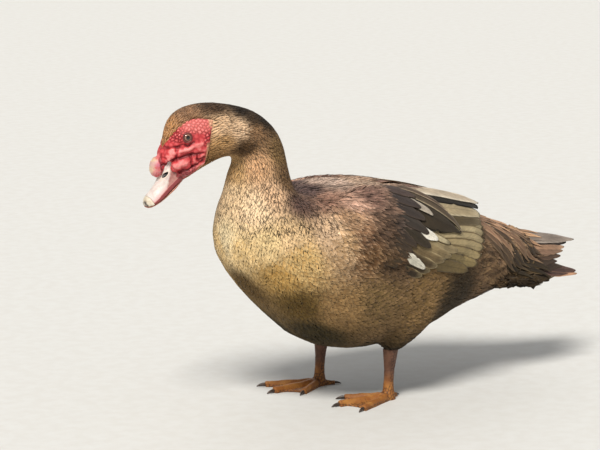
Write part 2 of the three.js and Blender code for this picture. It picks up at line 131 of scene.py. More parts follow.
# Holds a socket of a material, so that sums and products of it can be written out
class Wire:
    def __init__(self, finish, socket):
        self.finish = finish
        self.socket = socket

    def math(self, operation, *others):
        sockets = dict(enumerate((self, *others)))
        return self.finish.node("ShaderNodeMath", {"operation": operation}, sockets)

    def __add__(self, other):
        return self.math("ADD", other)

    __radd__ = __add__

    def __sub__(self, other):
        return self.math("SUBTRACT", other)

    def __rsub__(self, other):
        return self.finish.node("ShaderNodeMath", {"operation": "SUBTRACT"}, {0: other, 1: self})

    def __mul__(self, other):
        return self.math("MULTIPLY", other)

    __rmul__ = __mul__

    def __truediv__(self, other):
        return self.math("DIVIDE", other)

    def ramp(self, low, high, first=0.0, last=1.0):  # a smooth step from first to last
        return self.finish.node("ShaderNodeMapRange", {"interpolation_type": "SMOOTHSTEP"},
                                {0: self, 1: low, 2: high, 3: first, 4: last})


class Finish:
    def __init__(self, name):
        self.material = bpy.data.materials.new(name)
        self.material.use_nodes = True
        self.tree = self.material.node_tree
        self.tree.nodes.clear()

    def node(self, kind, settings=None, sockets=None, output=0):
        made = self.tree.nodes.new(kind)
        for name, value in (settings or {}).items():
            if name == "stops":
                self.setStops(made.color_ramp, value)
            else:
                setattr(made, name, value)
        for name, value in (sockets or {}).items():
            if isinstance(value, Wire):
                self.tree.links.new(value.socket, made.inputs[name])
            else:
                made.inputs[name].default_value = value
        return Wire(self, made.outputs[output]) if made.outputs else None

    def setStops(self, ramp, stops):
        while len(ramp.elements) < len(stops):
            ramp.elements.new(1)
        for element, (place, colour) in zip(ramp.elements, stops):
            element.position = place
            element.color = (*tone(colour), 1)

    def place(self):
        return self.node("ShaderNodeTexCoord", output="Object")

    def attribute(self, name, output="Color"):
        return self.node("ShaderNodeAttribute", {"attribute_name": name}, output=output)

    def parts(self, vector):
        return [self.node("ShaderNodeSeparateXYZ", sockets={0: vector}, output=axis) for axis in range(3)]

    def noise(self, vector, scale, detail=3.0, rough=0.55, stretch=None):
        if stretch:
            vector = self.node("ShaderNodeMapping", sockets={"Vector": vector, "Scale": stretch})
        return self.node("ShaderNodeTexNoise", sockets={
            "Vector": vector, "Scale": scale, "Detail": detail, "Roughness": rough})

    def cells(self, vector, scale):
        return self.node("ShaderNodeTexVoronoi", sockets={"Vector": vector, "Scale": scale})

    def colour(self, code):
        return (*tone(code), 1)

    def blend(self, share, first, second, kind="MIX"):
        first, second = [self.colour(part) if isinstance(part, str) else part for part in (first, second)]
        return self.node("ShaderNodeMix", {"data_type": "RGBA", "blend_type": kind},
                         {0: share, 6: first, 7: second}, output=2)

    def grey(self, value):
        return self.node("ShaderNodeCombineColor", sockets={0: value, 1: value, 2: value})

    def bump(self, height, depth, strength):
        return self.node("ShaderNodeBump", sockets={
            "Height": height, "Distance": depth, "Strength": strength})

    def close(self, colour, roughness, normal=None, **fixed):
        sockets = {"Base Color": colour, "Roughness": roughness, **fixed}
        if normal:
            sockets["Normal"] = normal
        shader = self.node("ShaderNodeBsdfPrincipled", sockets={
            name.replace("_", " "): value for name, value in sockets.items()})
        self.node("ShaderNodeOutputMaterial", sockets={"Surface": shader})
        return self.material


def meshOf(name, shape):
    mesh = bpy.data.meshes.new(name)
    shape.to_mesh(mesh)
    shape.free()
    return mesh


def bmeshOf(mesh):
    shape = bmesh.new()
    shape.from_mesh(mesh)
    return shape


def newObject(name, shape):
    return placed(name, meshOf(name, shape))


floorPlan = {"size": 30, "grain": 60, "shades": ("d2d2d0", "cecdca"), "roughness": 0.9}  # size in metres


def makeFloor(plan):
    shape = bmesh.new()
    bmesh.ops.create_grid(shape, x_segments=1, y_segments=1, size=plan["size"])
    floor = newObject("floor", shape)
    finish = Finish("paper")
    grain = finish.noise(finish.place(), plan["grain"], 4)
    shade = finish.blend(grain.ramp(0.3, 0.7), *plan["shades"])
    floor.data.materials.append(finish.close(shade, plan["roughness"]))


def finishPiece(made, material, slot, *nodes):
    made.data.materials.clear()
    made.data.materials.append(material)
    made.data.polygons.foreach_set("use_smooth", [True] * len(made.data.polygons))
    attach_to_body(made, "root")
    if nodes:
        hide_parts(*nodes)


def trianglesOf(mesh):
    return sum(len(face.vertices) - 2 for face in mesh.polygons)


def readAll(items, name, width, kind=np.float32):
    values = np.empty(len(items) * width, kind)
    items.foreach_get(name, values)
    return values.reshape(-1, width)


def placesOf(mesh):
    return readAll(mesh.vertices, "co", 3).astype(float) / mm


def normalsOf(mesh):
    return readAll(mesh.vertex_normals, "vector", 3).astype(float)


def movePlaces(mesh, places):
    mesh.vertices.foreach_set("co", (places * mm).astype(np.float32).ravel())
    mesh.update()


def attach(mesh, name, kind, values):
    layer = mesh.attributes.new(name, kind, "POINT")
    field = {"FLOAT_VECTOR": "vector", "FLOAT_COLOR": "color", "FLOAT": "value"}[kind]
    layer.data.foreach_set(field, np.asarray(values, np.float32).ravel())


def attachShades(mesh, shades, edges):  # the colours of a vane and of its edge, or of the skin below
    for name, colours in (("shade", shades), ("edge", edges)):
        attach(mesh, name, "FLOAT_COLOR", np.hstack([colours, np.ones((len(colours), 1))]))


def cutAway(shape, place, way):  # drops what lies on that side of a plane
    bmesh.ops.bisect_plane(shape, geom=[*shape.verts, *shape.edges, *shape.faces],
                           plane_co=[part * mm for part in place], plane_no=way, clear_outer=True)


# Copies of CAD nodes, each grown a little, so that the next step runs them into one body
def grownCopies(nodes, swell):
    joined = bmesh.new()
    for node in nodes:
        copy = bmeshOf(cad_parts[node].data)
        bmesh.ops.remove_doubles(copy, verts=copy.verts, dist=0.01 * mm)
        copy.normal_update()
        for vert in copy.verts:
            vert.co += vert.normal * swell * mm
        held = meshOf("held", copy)
        joined.from_mesh(held)
        bpy.data.meshes.remove(held)
    return joined


def remeshed(name, nodes, voxel, swell, smoothing, lobes=(), solids=()):
    grown = grownCopies(nodes, swell)
    for solid in solids:
        grown.from_mesh(solid)
    for lobe in lobes:
        bmesh.ops.create_icosphere(grown, subdivisions=4, radius=1, matrix=lobe)
    rough = newObject("rough", grown)
    modifier = rough.modifiers.new("remesh", "REMESH")
    modifier.mode = "VOXEL"
    modifier.voxel_size = voxel * mm
    evaluated = rough.evaluated_get(bpy.context.evaluated_depsgraph_get())
    mesh = bpy.data.meshes.new_from_object(evaluated)
    bpy.data.objects.remove(rough)
    shape = bmeshOf(mesh)
    bpy.data.meshes.remove(mesh)
    for _ in range(smoothing):
        bmesh.ops.smooth_vert(shape, verts=shape.verts, factor=0.5,
                              use_axis_x=True, use_axis_y=True, use_axis_z=True)
    return newObject(name, shape)


# Copies of CAD nodes as a surface to measure from, which stays out of the picture
def grownSurface(nodes, lobes=()):
    grown = grownCopies(nodes, 0.3)
    for lobe in lobes:
        bmesh.ops.create_icosphere(grown, subdivisions=3, radius=1, matrix=lobe)
    return Surface(meshOf("grown", grown))


def treeOf(places):
    tree = KDTree(len(places))
    for index, place in enumerate(places):
        tree.insert(place, index)
    tree.balance()
    return tree


class Surface:  # what vanes are laid on: the nearest place on it, and the normal there
    def __init__(self, mesh):
        self.places = placesOf(mesh)
        mesh.calc_loop_triangles()
        self.corners = readAll(mesh.loop_triangles, "vertices", 3, np.int32)
        normals = normalsOf(mesh)
        self.normals = [Vector(normal) for normal in unit(normals[self.corners].sum(1))]
        self.tree = BVHTree.FromPolygons(self.places.tolist(), self.corners.tolist())

    def near(self, place):
        found, _, index, _ = self.tree.find_nearest(place)
        return found, self.normals[index]

    def hit(self, start, heading):
        found, _, index, _ = self.tree.ray_cast(start, heading)
        return (found, self.normals[index]) if found else (None, None)

    def distances(self, places):
        return np.array([self.tree.find_nearest(place)[3] for place in places])

    # Places spread evenly over it, spacing apart, which spacingAt gives in millimetres
    def scatter(self, spacingAt, crowd=7):
        a, b, c = [self.places[self.corners[:, k]] for k in range(3)]
        areas = np.linalg.norm(np.cross(b - a, c - a), axis=1) / 2
        spacing = spacingAt((a + b + c) / 3)
        weights = np.where(spacing > 0, areas / np.maximum(spacing, 0.1) ** 2, 0)
        picked = chance.choice(len(areas), int(weights.sum() * crowd), p=weights / weights.sum())
        u, v = chance.random((2, len(picked), 1))
        u, v = np.where(u + v > 1, 1 - u, u), np.where(u + v > 1, 1 - v, v)
        places = a[picked] + u * (b - a)[picked] + v * (c - a)[picked]
        spacing = spacing[picked]
        tree = treeOf(places)
        free = np.ones(len(places), bool)
        kept = []
        for index, place in enumerate(places):
            if free[index]:
                kept.append(index)
                for _, other, _ in tree.find_range(place, spacing[index]):
                    free[other] = False
        return places[kept]


# The line down the middle of the bird, from the bill to the tail: where each stretch is, and its
# vanes. Spacing, length and width of a vane, the coat's depth, and how far its tips stand up.
spine = [
    {"at": (-250, 269), "spacing": 1.6, "length": 6, "width": 2.2, "depth": 1.2, "lift": 0.1},
    {"at": (-233, 298), "spacing": 1.6, "length": 7, "width": 2.3, "depth": 1.5, "lift": 0.2},
    {"at": (-192, 301), "spacing": 1.8, "length": 9, "width": 2.5, "depth": 1.5, "lift": 0.3},
    {"at": (-158, 289), "spacing": 1.9, "length": 9, "width": 2.8, "depth": 1.6, "lift": 0.2},
    {"at": (-153, 260), "spacing": 2.1, "length": 9, "width": 3.9, "depth": 1.6, "lift": 0.1},
    {"at": (-155, 230), "spacing": 2.4, "length": 10, "width": 4.8, "depth": 1.7, "lift": 0.1},
    {"at": (-153, 200), "spacing": 2.8, "length": 11, "width": 6.2, "depth": 1.9, "lift": 0.1},
    {"at": (-139, 181), "spacing": 3.1, "length": 13, "width": 7, "depth": 2.3, "lift": 0.2},
    {"at": (-118, 164), "spacing": 3.5, "length": 16, "width": 7, "depth": 2.7, "lift": 0.2},
    {"at": (-87, 151), "spacing": 3.8, "length": 18, "width": 7.6, "depth": 3.1, "lift": 0.2},
    {"at": (-44, 146), "spacing": 4.1, "length": 20, "width": 8.2, "depth": 3.3, "lift": 0.2},
    {"at": (3, 143), "spacing": 4.2, "length": 22, "width": 8.4, "depth": 3.3, "lift": 0.2},
    {"at": (49, 141), "spacing": 4.3, "length": 24, "width": 8.4, "depth": 3.3, "lift": 0.3},
    {"at": (91, 139), "spacing": 4.4, "length": 28, "width": 8.4, "depth": 3.2, "lift": 0.3},
    {"at": (133, 135), "spacing": 4.6, "length": 34, "width": 8.6, "depth": 3, "lift": 0.4},
    {"at": (171, 134), "spacing": 4.8, "length": 38, "width": 8.8, "depth": 3, "lift": 0.4},
    {"at": (203, 134), "spacing": 5, "length": 38, "width": 9, "depth": 2.5, "lift": 0.4},
    {"at": (242, 128), "spacing": 5.5, "length": 36, "width": 9, "depth": 2, "lift": 0.3},
]
neckPlan = {"axis": -150.25, "turn": 10, "low": 205, "high": 285}


# Undoes the turn of the neck and head, so that the two cheeks have the same places
def straight(places):
    turn = np.radians(neckPlan["turn"]) * rise(neckPlan["low"], neckPlan["high"], places[:, 2])
    x, y = places[:, 0] - neckPlan["axis"], places[:, 1]
    return np.stack([neckPlan["axis"] + x * np.cos(turn) - y * np.sin(turn),
                     x * np.sin(turn) + y * np.cos(turn), places[:, 2]], 1)


# Reads the spine near each place: the blend of its stretches, and the way that it runs
def alongSpine(places):
    at = np.array([row["at"] for row in spine], float)
    ways = unit(np.gradient(at, axis=0))
    ways = np.stack([ways[:, 0], 0 * ways[:, 0], ways[:, 1]], 1)
    upright = straight(places)[:, (0, 2)]
    gaps = ((upright[:, None] - at[None]) ** 2).sum(2) + 10 ** 2
    shares = gaps ** -2.5
    shares /= shares.sum(1, keepdims=True)
    read = {key: shares @ np.array([row[key] for row in spine], float)
            for key in ("spacing", "length", "width", "depth", "lift")}
    read["way"] = unit(shares @ ways)
    return read


# The plumage's colours, by place: x, distance from the middle and height, then the colour of a
# vane and of its edge. In between, they run into one another.
patches = {
    "forehead": (-256, 6, 310, "bb8552", "e2b48c"), "frontCrown": (-240, 10, 323, "8f6a4c", "bd9478"),
    "crown": (-209, 12, 328, "463223", "664c36"), "crest": (-180, 12, 322, "221810", "3c2c1e"),
    "crestEnd": (-155, 12, 311, "2a2015", "453420"), "tuft": (-206, 26, 310, "e8be94", "f4d4b0"),
    "cheek": (-203, 26, 293, "b08656", "d4ac7c"), "cheekRear": (-185, 26, 306, "e6c09a", "f4d4b0"),
    "jaw": (-216, 20, 279, "8e6b43", "b08a5e"), "throatPatch": (-178, 23, 286, "513b22", "6b4f34"),
    "poll": (-165, 25, 302, "8c6a4a", "a68464"), "nape": (-137, 23, 280, "8a6e46", "a2805a"),
    "chin": (-225, 6, 262, "b0845a", "cfa478"), "neckFrontHigh": (-182, 6, 263, "c09864", "e0bc8c"),
    "neckFront": (-190, 8, 235, "ecca9e", "f4d8b0"), "neckSide": (-176, 33, 229, "f2d2aa", "fadeb8"),
    "neckRearSide": (-158, 38, 240, "dcb48e", "e8c29e"), "neckBack": (-135, 27, 252, "74593c", "8b6e52"),
    "neckSideHigh": (-165, 25, 268, "d8a87c", "e8be96"), "crop": (-193, 0, 190, "eed6a8", "f8e4bc"),
    "breast": (-190, 20, 178, "e0bd82", "f2d6a6"), "breastSide": (-172, 52, 190, "dabc8a", "eed4a0"),
    "breastWing": (-157, 64, 195, "d2b084", "e6c89c"), "sideLow": (-149, 72, 172, "c29c62", "e0c48c"),
    # Underneath, underBreast, keel, bellyFront, belly, ventSide, vent, tailUnder, tailEdge and tailEnd are
    # dark partly in the plumage's own colour and partly as painted shade under the body
    "lowBreast": (-163, 52, 150, "b0884a", "d4b070"), "underBreast": (-172, 0, 134, "5c4622", "7f6236"),
    "keel": (-139, 52, 122, "57411c", "7a6230"), "bellyFront": (-105, 40, 82, "2e260e", "463a1c"),
    "belly": (0, 25, 58, "201a0c", "322a15"), "flankFront": (-100, 80, 116, "907048", "b08e60"),
    "flank": (-62, 89, 122, "76603d", "927350"), "flankRear": (8, 86, 119, "7a613c", "987852"),
    "ventSide": (58, 68, 108, "33291a", "4a3b25"), "rumpSide": (117, 56, 130, "67503a", "8a6f50"),
    "rumpHigh": (134, 50, 152, "886a50", "ac8c6c"), "rump": (138, 12, 176, "9a8060", "c0a684"),
    "tailTop": (172, 28, 156, "866848", "b49271"), "tailSide": (194, 34, 132, "5c4a33", "8a7454"),
    "tailUnder": (172, 40, 108, "2c2213", "423420"), "vent": (140, 0, 92, "221b0f", "332815"),
    "mantleSide": (-131, 44, 226, "5a443d", "7b6053"), "mantle": (-106, 18, 236, "5a4744", "7a635c"),
    "midBack": (-69, 5, 238, "a89080", "d4bcac"), "back": (-28, 5, 236, "b69a84", "dcbea4"),
    "lowBack": (45, 5, 222, "967a68", "b89a84"), "shoulderTop": (-96, 53, 228, "8a6656", "b08c76"),
    "shoulder": (-76, 65, 222, "b28c78", "d0ae9a"), "scapulars": (-48, 58, 229, "7a5c50", "a08070"),
    "wrist": (-113, 78, 200, "c6a684", "e5c5a5"), "wingFront": (-86, 79, 213, "a58263", "c8a586"),
    "wristLow": (-102, 88, 187, "a68560", "dcbb95"), "wingMid": (-76, 92, 190, "785840", "ac8c70"),
    "wingLow": (-72, 94, 172, "64482e", "9a7c5c"), "coverts": (-48, 90, 195, "4e3c30", "745c48"),
    "wingEdge": (-42, 95, 164, "4c3a28", "68523d"), "darkTop": (-20, 70, 217, "70584a", "987e6c"),
    "darkMid": (-26, 86, 196, "3a302a", "574a42"), "darkLow": (-34, 92, 180, "3f3226", "66523f"),
    "dark": (0, 82, 203, "40352f", "564842"), "crestSide": (-168, 18, 316, "382a1c", "584430"),
    "tailEnd": (200, 20, 108, "1f180f", "33281b"), "tailEdge": (165, 50, 104, "2a2015", "40321f"),
}


def markings(places):
    at = np.array([patch[:3] for patch in patches.values()], float)
    colours = np.array([[tone(patch[3]), tone(patch[4])] for patch in patches.values()])
    upright = straight(places)
    upright[:, 1] = np.abs(upright[:, 1])
    gaps = ((upright[:, None] - at[None]) ** 2).sum(2) + 5 ** 2
    shares = gaps ** -2.2
    shares /= shares.sum(1, keepdims=True)
    return shares @ colours[:, 0], shares @ colours[:, 1]


class Unwrap:  # flat places for the coat's bake map, on an unwrap of a plain copy of the skin
    def __init__(self, nodes):
        plain = remeshed("plain", nodes, 8, 1, 2)
        bpy.context.view_layer.objects.active = plain
        plain.select_set(True)
        bpy.ops.object.mode_set(mode="EDIT")
        bpy.ops.mesh.select_all(action="SELECT")
        bpy.ops.uv.smart_project(angle_limit=math.radians(66), island_margin=0.004)
        bpy.ops.object.mode_set(mode="OBJECT")
        mesh = plain.data
        self.surface = Surface(mesh)
        corners = readAll(mesh.loop_triangles, "loops", 3, np.int32)
        self.flat = readAll(mesh.uv_layers.active.uv, "vector", 2)[corners]
        bpy.data.objects.remove(plain)

    def at(self, places):
        found = [self.surface.tree.find_nearest(place) for place in places]
        spots = np.array([row[0] for row in found])
        picked = np.array([row[2] for row in found])
        a, b, c = [self.surface.places[self.surface.corners[picked, k]] for k in range(3)]
        whole = np.cross(b - a, c - a)
        size = np.maximum((whole ** 2).sum(1), 1e-9)
        shareB = (np.cross(spots - a, c - a) * whole).sum(1) / size
        shareC = (np.cross(b - a, spots - a) * whole).sum(1) / size
        shares = np.stack([1 - shareB - shareC, shareB, shareC], 1)
        return np.clip((self.flat[picked] * shares[:, :, None]).sum(1), 0.003, 0.997)


# Walks from each root along the surface: the places, normals and headings on the way
def march(surface, roots, ways, lengths, stations, sway):
    count = len(roots)
    path = np.empty((3, stations, count, 3))
    for index in range(count):
        place, way = Vector(roots[index]), Vector(ways[index])
        step, turn = lengths[index] / (stations - 1), sway[index] / stations
        for station in range(stations):
            place, normal = surface.near(place)
            way = (way - normal * way.dot(normal)).normalized()
            path[0, station, index], path[1, station, index], path[2, station, index] = place, normal, way
            way = (way + normal.cross(way) * turn).normalized()
            place = place + way * step
    return path


# Vanes along a path. Each is closed: a cambered face over a back with one line of places.
def vaneShape(path, plan, width, height):
    centres, normals, headings = path
    stations, count = centres.shape[:2]
    across = np.linspace(-1, 1, plan["columns"])
    along = np.linspace(0, 1, stations)
    sides = np.cross(normals, headings)
    profile = np.interp(along, np.linspace(0, 1, len(plan["profile"])), plan["profile"])
    half = profile[:, None] * width / 2
    fray = 1 + plan["fray"] * chance.uniform(-1, 1, (stations, count, len(across)))
    reach = half[:, :, None] * across * fray
    lift = height[:, :, None] - plan["camber"] * half[:, :, None] * across ** 2
    pull = rise(0.45, 1, along)[:, None, None] * width[:, None] / 2
    pull = pull * (-plan["round"] * across ** 2 + 1.6 * plan["fray"] * chance.uniform(-1, 1, fray.shape))
    top = centres[:, :, None] + sides[:, :, None] * reach[..., None]
    top = top + normals[:, :, None] * lift[..., None] + headings[:, :, None] * pull[..., None]
    back = centres + normals * (height - plan["thickness"])[..., None]
    return np.concatenate([top, back[:, :, None]], 2).transpose(1, 0, 2, 3)


# A piece from vanes: places is vane by station by column, where the last column is the back's
def vaneObject(name, places, colours, seeds, bakeAt, bakeSize):
    count, stations, row = places.shape[:3]
    mesh = bpy.data.meshes.new(name)
    fillFaces(mesh, places.reshape(-1, 3), stations, row - 1, count)
    flat = np.zeros((count, stations, row, 3))
    flat[..., :-1, 0] = np.linspace(-1, 1, row - 1)
    flat[..., 1] = np.linspace(0, 1, stations)[None, :, None]
    flat[..., 2] = seeds[:, None, None]
    attach(mesh, "vane", "FLOAT_VECTOR", flat)
    attachShades(mesh, *np.repeat(colours, stations * row, 1))
    spot = bakeAt[:, None, None] + np.stack([flat[..., 0] / 2, flat[..., 1] - 0.5], -1) * bakeSize
    corners = readAll(mesh.loops, "vertex_index", 1, np.int32).ravel()
    layer = mesh.uv_layers.new(name="OFBake")
    layer.uv.foreach_set("vector", spot.reshape(-1, 2)[corners].astype(np.float32).ravel())
    return placed(name, mesh)


def fillFaces(mesh, places, stations, columns, count):
    row = columns + 1
    quads, ends = [], []
    for station in range(stations - 1):
        near, far = station * row, (station + 1) * row
        for column in range(columns - 1):
            quads.append((near + column, far + column, far + column + 1, near + column + 1))
        quads.append((near, near + columns, far + columns, far))
        quads.append((near + columns, near + columns - 1, far + columns - 1, far + columns))
    last = (stations - 1) * row
    for column in range(columns - 1):
        ends.append((column, column + 1, columns))
        ends.append((last + column + 1, last + column, last + columns))
    offsets = np.arange(count)[:, None, None] * (stations * row)
    quads = (np.array(quads)[None] + offsets).reshape(-1, 4)
    ends = (np.array(ends)[None] + offsets).reshape(-1, 3)
    loops = np.concatenate([quads.ravel(), ends.ravel()])
    starts = np.concatenate([np.arange(len(quads)) * 4, quads.size + np.arange(len(ends)) * 3])
    mesh.vertices.add(len(places))
    mesh.loops.add(len(loops))
    mesh.polygons.add(len(starts))
    mesh.vertices.foreach_set("co", (places * mm).astype(np.float32).ravel())
    mesh.loops.foreach_set("vertex_index", loops.astype(np.int32))
    mesh.polygons.foreach_set("loop_start", starts.astype(np.int32))
    mesh.update(calc_edges=True)


tuftPatch = 0.003  # a vane's size on the bake map
coatPlan = {
    "fine": {"columns": 3, "stations": 5, "thickness": 0.1, "camber": 0.06, "fray": 0.3, "round": 0.9,
             "slope": 0.01, "jitter": 0.04, "variety": 0.07, "profile": (0.5, 0.95, 1, 0.9, 0.45)},
    "broad": {"columns": 5, "stations": 6, "thickness": 0.1, "camber": 0.07, "fray": 0.14, "round": 1.1,
              "slope": 0.014, "jitter": 0.07, "variety": 0.09, "profile": (0.45, 0.9, 1, 1, 0.85, 0.4)},
    "long": {"columns": 5, "stations": 8, "thickness": 0.15, "camber": 0.1, "fray": 0.14, "round": 1,
             "slope": 0.03, "jitter": 0.25, "variety": 0.16,
             "profile": (0.4, 0.85, 1, 1, 0.95, 0.8, 0.5, 0.15)},
}


# Lays a coat: only places where it grows get a vane, and with a side, only that half of the bird
def layCoat(name, coat, surface, unwrap, finish, side=0):
    plan = coatPlan[coat["kind"]]

    def keepAt(places):
        return coat["where"](places) & (places[:, 1] * side >= 0)

    def readAt(places):
        read = alongSpine(places)
        return sized(places, read, **coat["sizes"]) if "sizes" in coat else read

    roots = surface.scatter(lambda places: np.where(keepAt(places), readAt(places)["spacing"], 0))
    read = readAt(roots)
    count = len(roots)
    lengths = read["length"] * chance.uniform(0.85, 1.15, count)
    widths = read["width"] * chance.uniform(0.85, 1.15, count)
    path = march(surface, roots, read["way"], lengths, plan["stations"], chance.normal(0, 0.12, count))
    along = np.linspace(0, 1, plan["stations"])[:, None]
    height = read["depth"] * (-0.85 + 0.8 * (1 - (1 - along) ** 4))
    height = height + plan["slope"] * (along - 0.6) * lengths
    height = height + read["lift"] * along ** 2 + plan["jitter"] * chance.uniform(-1, 1, count) * along
    shades = np.stack(markings(path[0, plan["stations"] // 2]))
    shades = shades * (1 + plan["variety"] * chance.uniform(-1, 1, (1, count, 1)))
    places = vaneShape(path, plan, widths, height)
    made = vaneObject(name, places, shades, chance.random(count), unwrap.at(roots), tuftPatch)
    finishPiece(made, finish, coat["slot"])
    say(f"{name}: {count} vanes, {trianglesOf(made.data)} triangles")


def plumageFinish(name, plan):
    finish = Finish(name)
    place = finish.place()
    across, along, seed = finish.parts(finish.attribute("vane", "Vector"))
    side = across.math("ABSOLUTE")
    shade, edge = finish.attribute("shade"), finish.attribute("edge")
    ragged = finish.noise(place, 700, 3, 0.6)
    sideRim = (side + (ragged - 0.5) * 0.5).ramp(0.55, 1.1)
    rim = (along + (ragged - 0.5) * 0.3).ramp(0.6, 1.0).math("MAXIMUM", sideRim)
    streaks = finish.noise(place, plan["streaks"], 4, 0.6, plan["stretch"])
    share = rim * plan["rim"] * (0.3 + streaks)
    colour = finish.blend(share.math("MINIMUM", 1.0), shade, edge)
    mottle = finish.noise(place, plan["mottle"], 4, 0.65, plan["stretch"])
    level = 1 + (mottle.ramp(0.3, 0.7) - 0.5) * plan["contrast"]
    level = level + (streaks.ramp(0.3, 0.7) - 0.5) * plan["streak"]
    level = level + (seed - 0.5) * 0.1 + (ragged - 0.5) * 0.22
    # Each vane darkens towards its root: painted shade where the vanes above cover it
    colour = finish.blend(1.0, colour, finish.grey(level * along.ramp(0.0, 0.4, 0.9, 1.0)), "MULTIPLY")
    lines = ((along * plan["barbs"] + side * plan["barbs"] * 0.45 + seed * 7) * 6.2832).math("SINE")
    shaft = side.ramp(0.0, 0.1, 1.0, 0.0)
    normal = finish.bump(lines * 0.3 + shaft * plan["shaft"] + streaks + ragged, 0.3 * mm, 0.6)
    return finish.close(colour, 0.66 + streaks * 0.3, normal, Specular_IOR_Level=0.12,
                        Sheen_Weight=0.05, Sheen_Roughness=0.5)


# How raised the shaft is, how many barbs, how strong the rim, and the scale and strength of the patterns
plumagePlan = {
    "head": {"shaft": 0.15, "barbs": 9, "rim": 0.8, "streaks": 260, "mottle": 120,
             "stretch": (1, 1, 1.3), "contrast": 0.4, "streak": 0.4},
    "neck": {"shaft": 0.15, "barbs": 9, "rim": 0.55, "streaks": 420, "mottle": 190,
             "stretch": (0.8, 0.8, 1.1), "contrast": 0.2, "streak": 0.18},
    "body": {"shaft": 0.4, "barbs": 14, "rim": 0.75, "streaks": 300, "mottle": 80,
             "stretch": (0.9, 0.9, 1.3), "contrast": 0.36, "streak": 0.26},
    "rump": {"shaft": 0.8, "barbs": 22, "rim": 1.2, "streaks": 130, "mottle": 45,
             "stretch": (0.5, 1, 1.4), "contrast": 0.8, "streak": 0.7},
    "long": {"shaft": 0.7, "barbs": 22, "rim": 1.1, "streaks": 170, "mottle": 60,
             "stretch": (0.6, 1, 1.5), "contrast": 0.85, "streak": 0.7},
}


# The head's own measures: ahead of the eyes' centre line, out from the middle, and above the eyes
def headPlaces(places):
    upright = straight(places)
    low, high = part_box("eye_left")
    eye = straight(np.array([(low + high) / 2]) / mm)[0]
    return np.stack([eye[0] - upright[:, 0], np.abs(upright[:, 1]), upright[:, 2] - eye[2]], 1)


def headWays(side):  # ahead, outwards and up, for the turned head
    turn = math.radians(neckPlan["turn"])
    ahead = Vector((-math.cos(turn), math.sin(turn), 0))
    out = Vector((-math.sin(turn), -math.cos(turn), 0)) * (1 if side == "left" else -1)
    return ahead, out, Vector((0, 0, 1))


# Lobes of bare skin, each an oval: its centre (ahead, out, up), its half sizes that way, and its tilt
# in degrees, front end down
lobePlan = {
    "knobLow": {"at": (26.8, 0, -35), "size": (6.4, 7.8, 7.2), "tilt": 0},
    "front": {"at": (15.2, 9.2, -18.5), "size": (4.8, 6.4, 8.6), "tilt": -14},
    "frontLow": {"at": (18.6, 6.2, -26.5), "size": (3.2, 4.8, 5), "tilt": 0},
    "cheek": {"at": (4.5, 14.2, -28), "size": (9.6, 6.8, 5.8), "tilt": 12},
    "cheekLow": {"at": (8.8, 10.6, -32.6), "size": (5.8, 5.4, 4.6), "tilt": 35},
    "rearCheek": {"at": (-9, 17.4, -25), "size": (6, 5.6, 3.6), "tilt": -30},
    "gape": {"at": (1.5, 10.2, -37.6), "size": (9, 5, 4), "tilt": 38},
    "jawCorner": {"at": (-2.5, 7.6, -39.4), "size": (7, 4.8, 3.2), "tilt": 38},
    "orbit": {"at": (0.6, 17, 0.4), "size": (9.5, 7.7, 9.5), "tilt": 0},
}
# The face's mesh, its beads and cobbles with the heights that they go down to, and how its folds wander.
# Ridges and grooves run from start to end, each (ahead, above the eye). A groove's height is negative.
facePlan = {
    "voxel": 1.12, "swell": 0.45, "smoothing": 2, "subdivided": 1.1, "beads": 2.8, "beadsDown": -44,
    "beadHeight": 0.95, "cobbles": 4.6, "cobblesDown": -60, "wander": 1.6, "wanderScale": 0.2, "sunk": 0.35,
    "frontLobe": {"start": (13.6, -13.5), "end": (17.2, -24), "width": 3.2, "height": 1.5},
    "cheekLobe": {"start": (10.5, -30), "end": (1, -26), "width": 3.3, "height": 1.5},
    "secondLobe": {"start": (-6.4, -22.5), "end": (-8.6, -27), "width": 1.9, "height": 1.1},
    "thirdLobe": {"start": (-13.5, -20.2), "end": (-17.5, -20), "width": 1.7, "height": 0.9},
    "underEye": {"start": (9, -16.5), "end": (-2, -12.2), "width": 2.2, "height": 1.5},
    "underEyeRear": {"start": (-2, -12.2), "end": (-15, -7.5), "width": 2.2, "height": 1.2},
    "rearSmooth": {"start": (-12, -14.5), "end": (-18, -14), "width": 2.4, "height": 0.7},
    "chinStrip": {"start": (-4, -34.8), "end": (-20, -27.2), "width": 1.5, "height": 1.2},
    "mainGroove": {"start": (21, -30), "end": (11, -22.6), "width": 1.5, "height": -2.0},
    "mainGrooveRear": {"start": (11, -22.6), "end": (-4, -18.4), "width": 1.7, "height": -2.1},
    "grooveEnd": {"start": (-4, -18.4), "end": (-17, -16.8), "width": 1.2, "height": -1.4},
    "lobeTop": {"start": (20, -11), "end": (8, -10.2), "width": 1.3, "height": -1.5},
    "lobeRear": {"start": (9.8, -11), "end": (10.8, -21), "width": 1.2, "height": -1.3},
    "belowEye": {"start": (7, -9), "end": (-7, -5.6), "width": 1.4, "height": -0.9},
    "knobGroove": {"start": (23.4, -18), "end": (22, -38), "width": 1.2, "height": -1.9},
    "frontFold": {"start": (20.5, -22), "end": (16.5, -25.5), "width": 0.9, "height": -0.8},
    "cheekFold": {"start": (-3, -20.5), "end": (-5.6, -30), "width": 1.4, "height": -1.1},
    "rearFold": {"start": (-10, -19.5), "end": (-12, -26), "width": 1.0, "height": -1.2},
    "lowFold": {"start": (-11, -22.6), "end": (-20, -22.4), "width": 0.9, "height": -1.0},
    "gapeGroove": {"start": (5, -37), "end": (-6, -32), "width": 1.4, "height": -2.0},
    "gapeRear": {"start": (-6, -32), "end": (-18, -25.2), "width": 1.1, "height": -1.5},
}


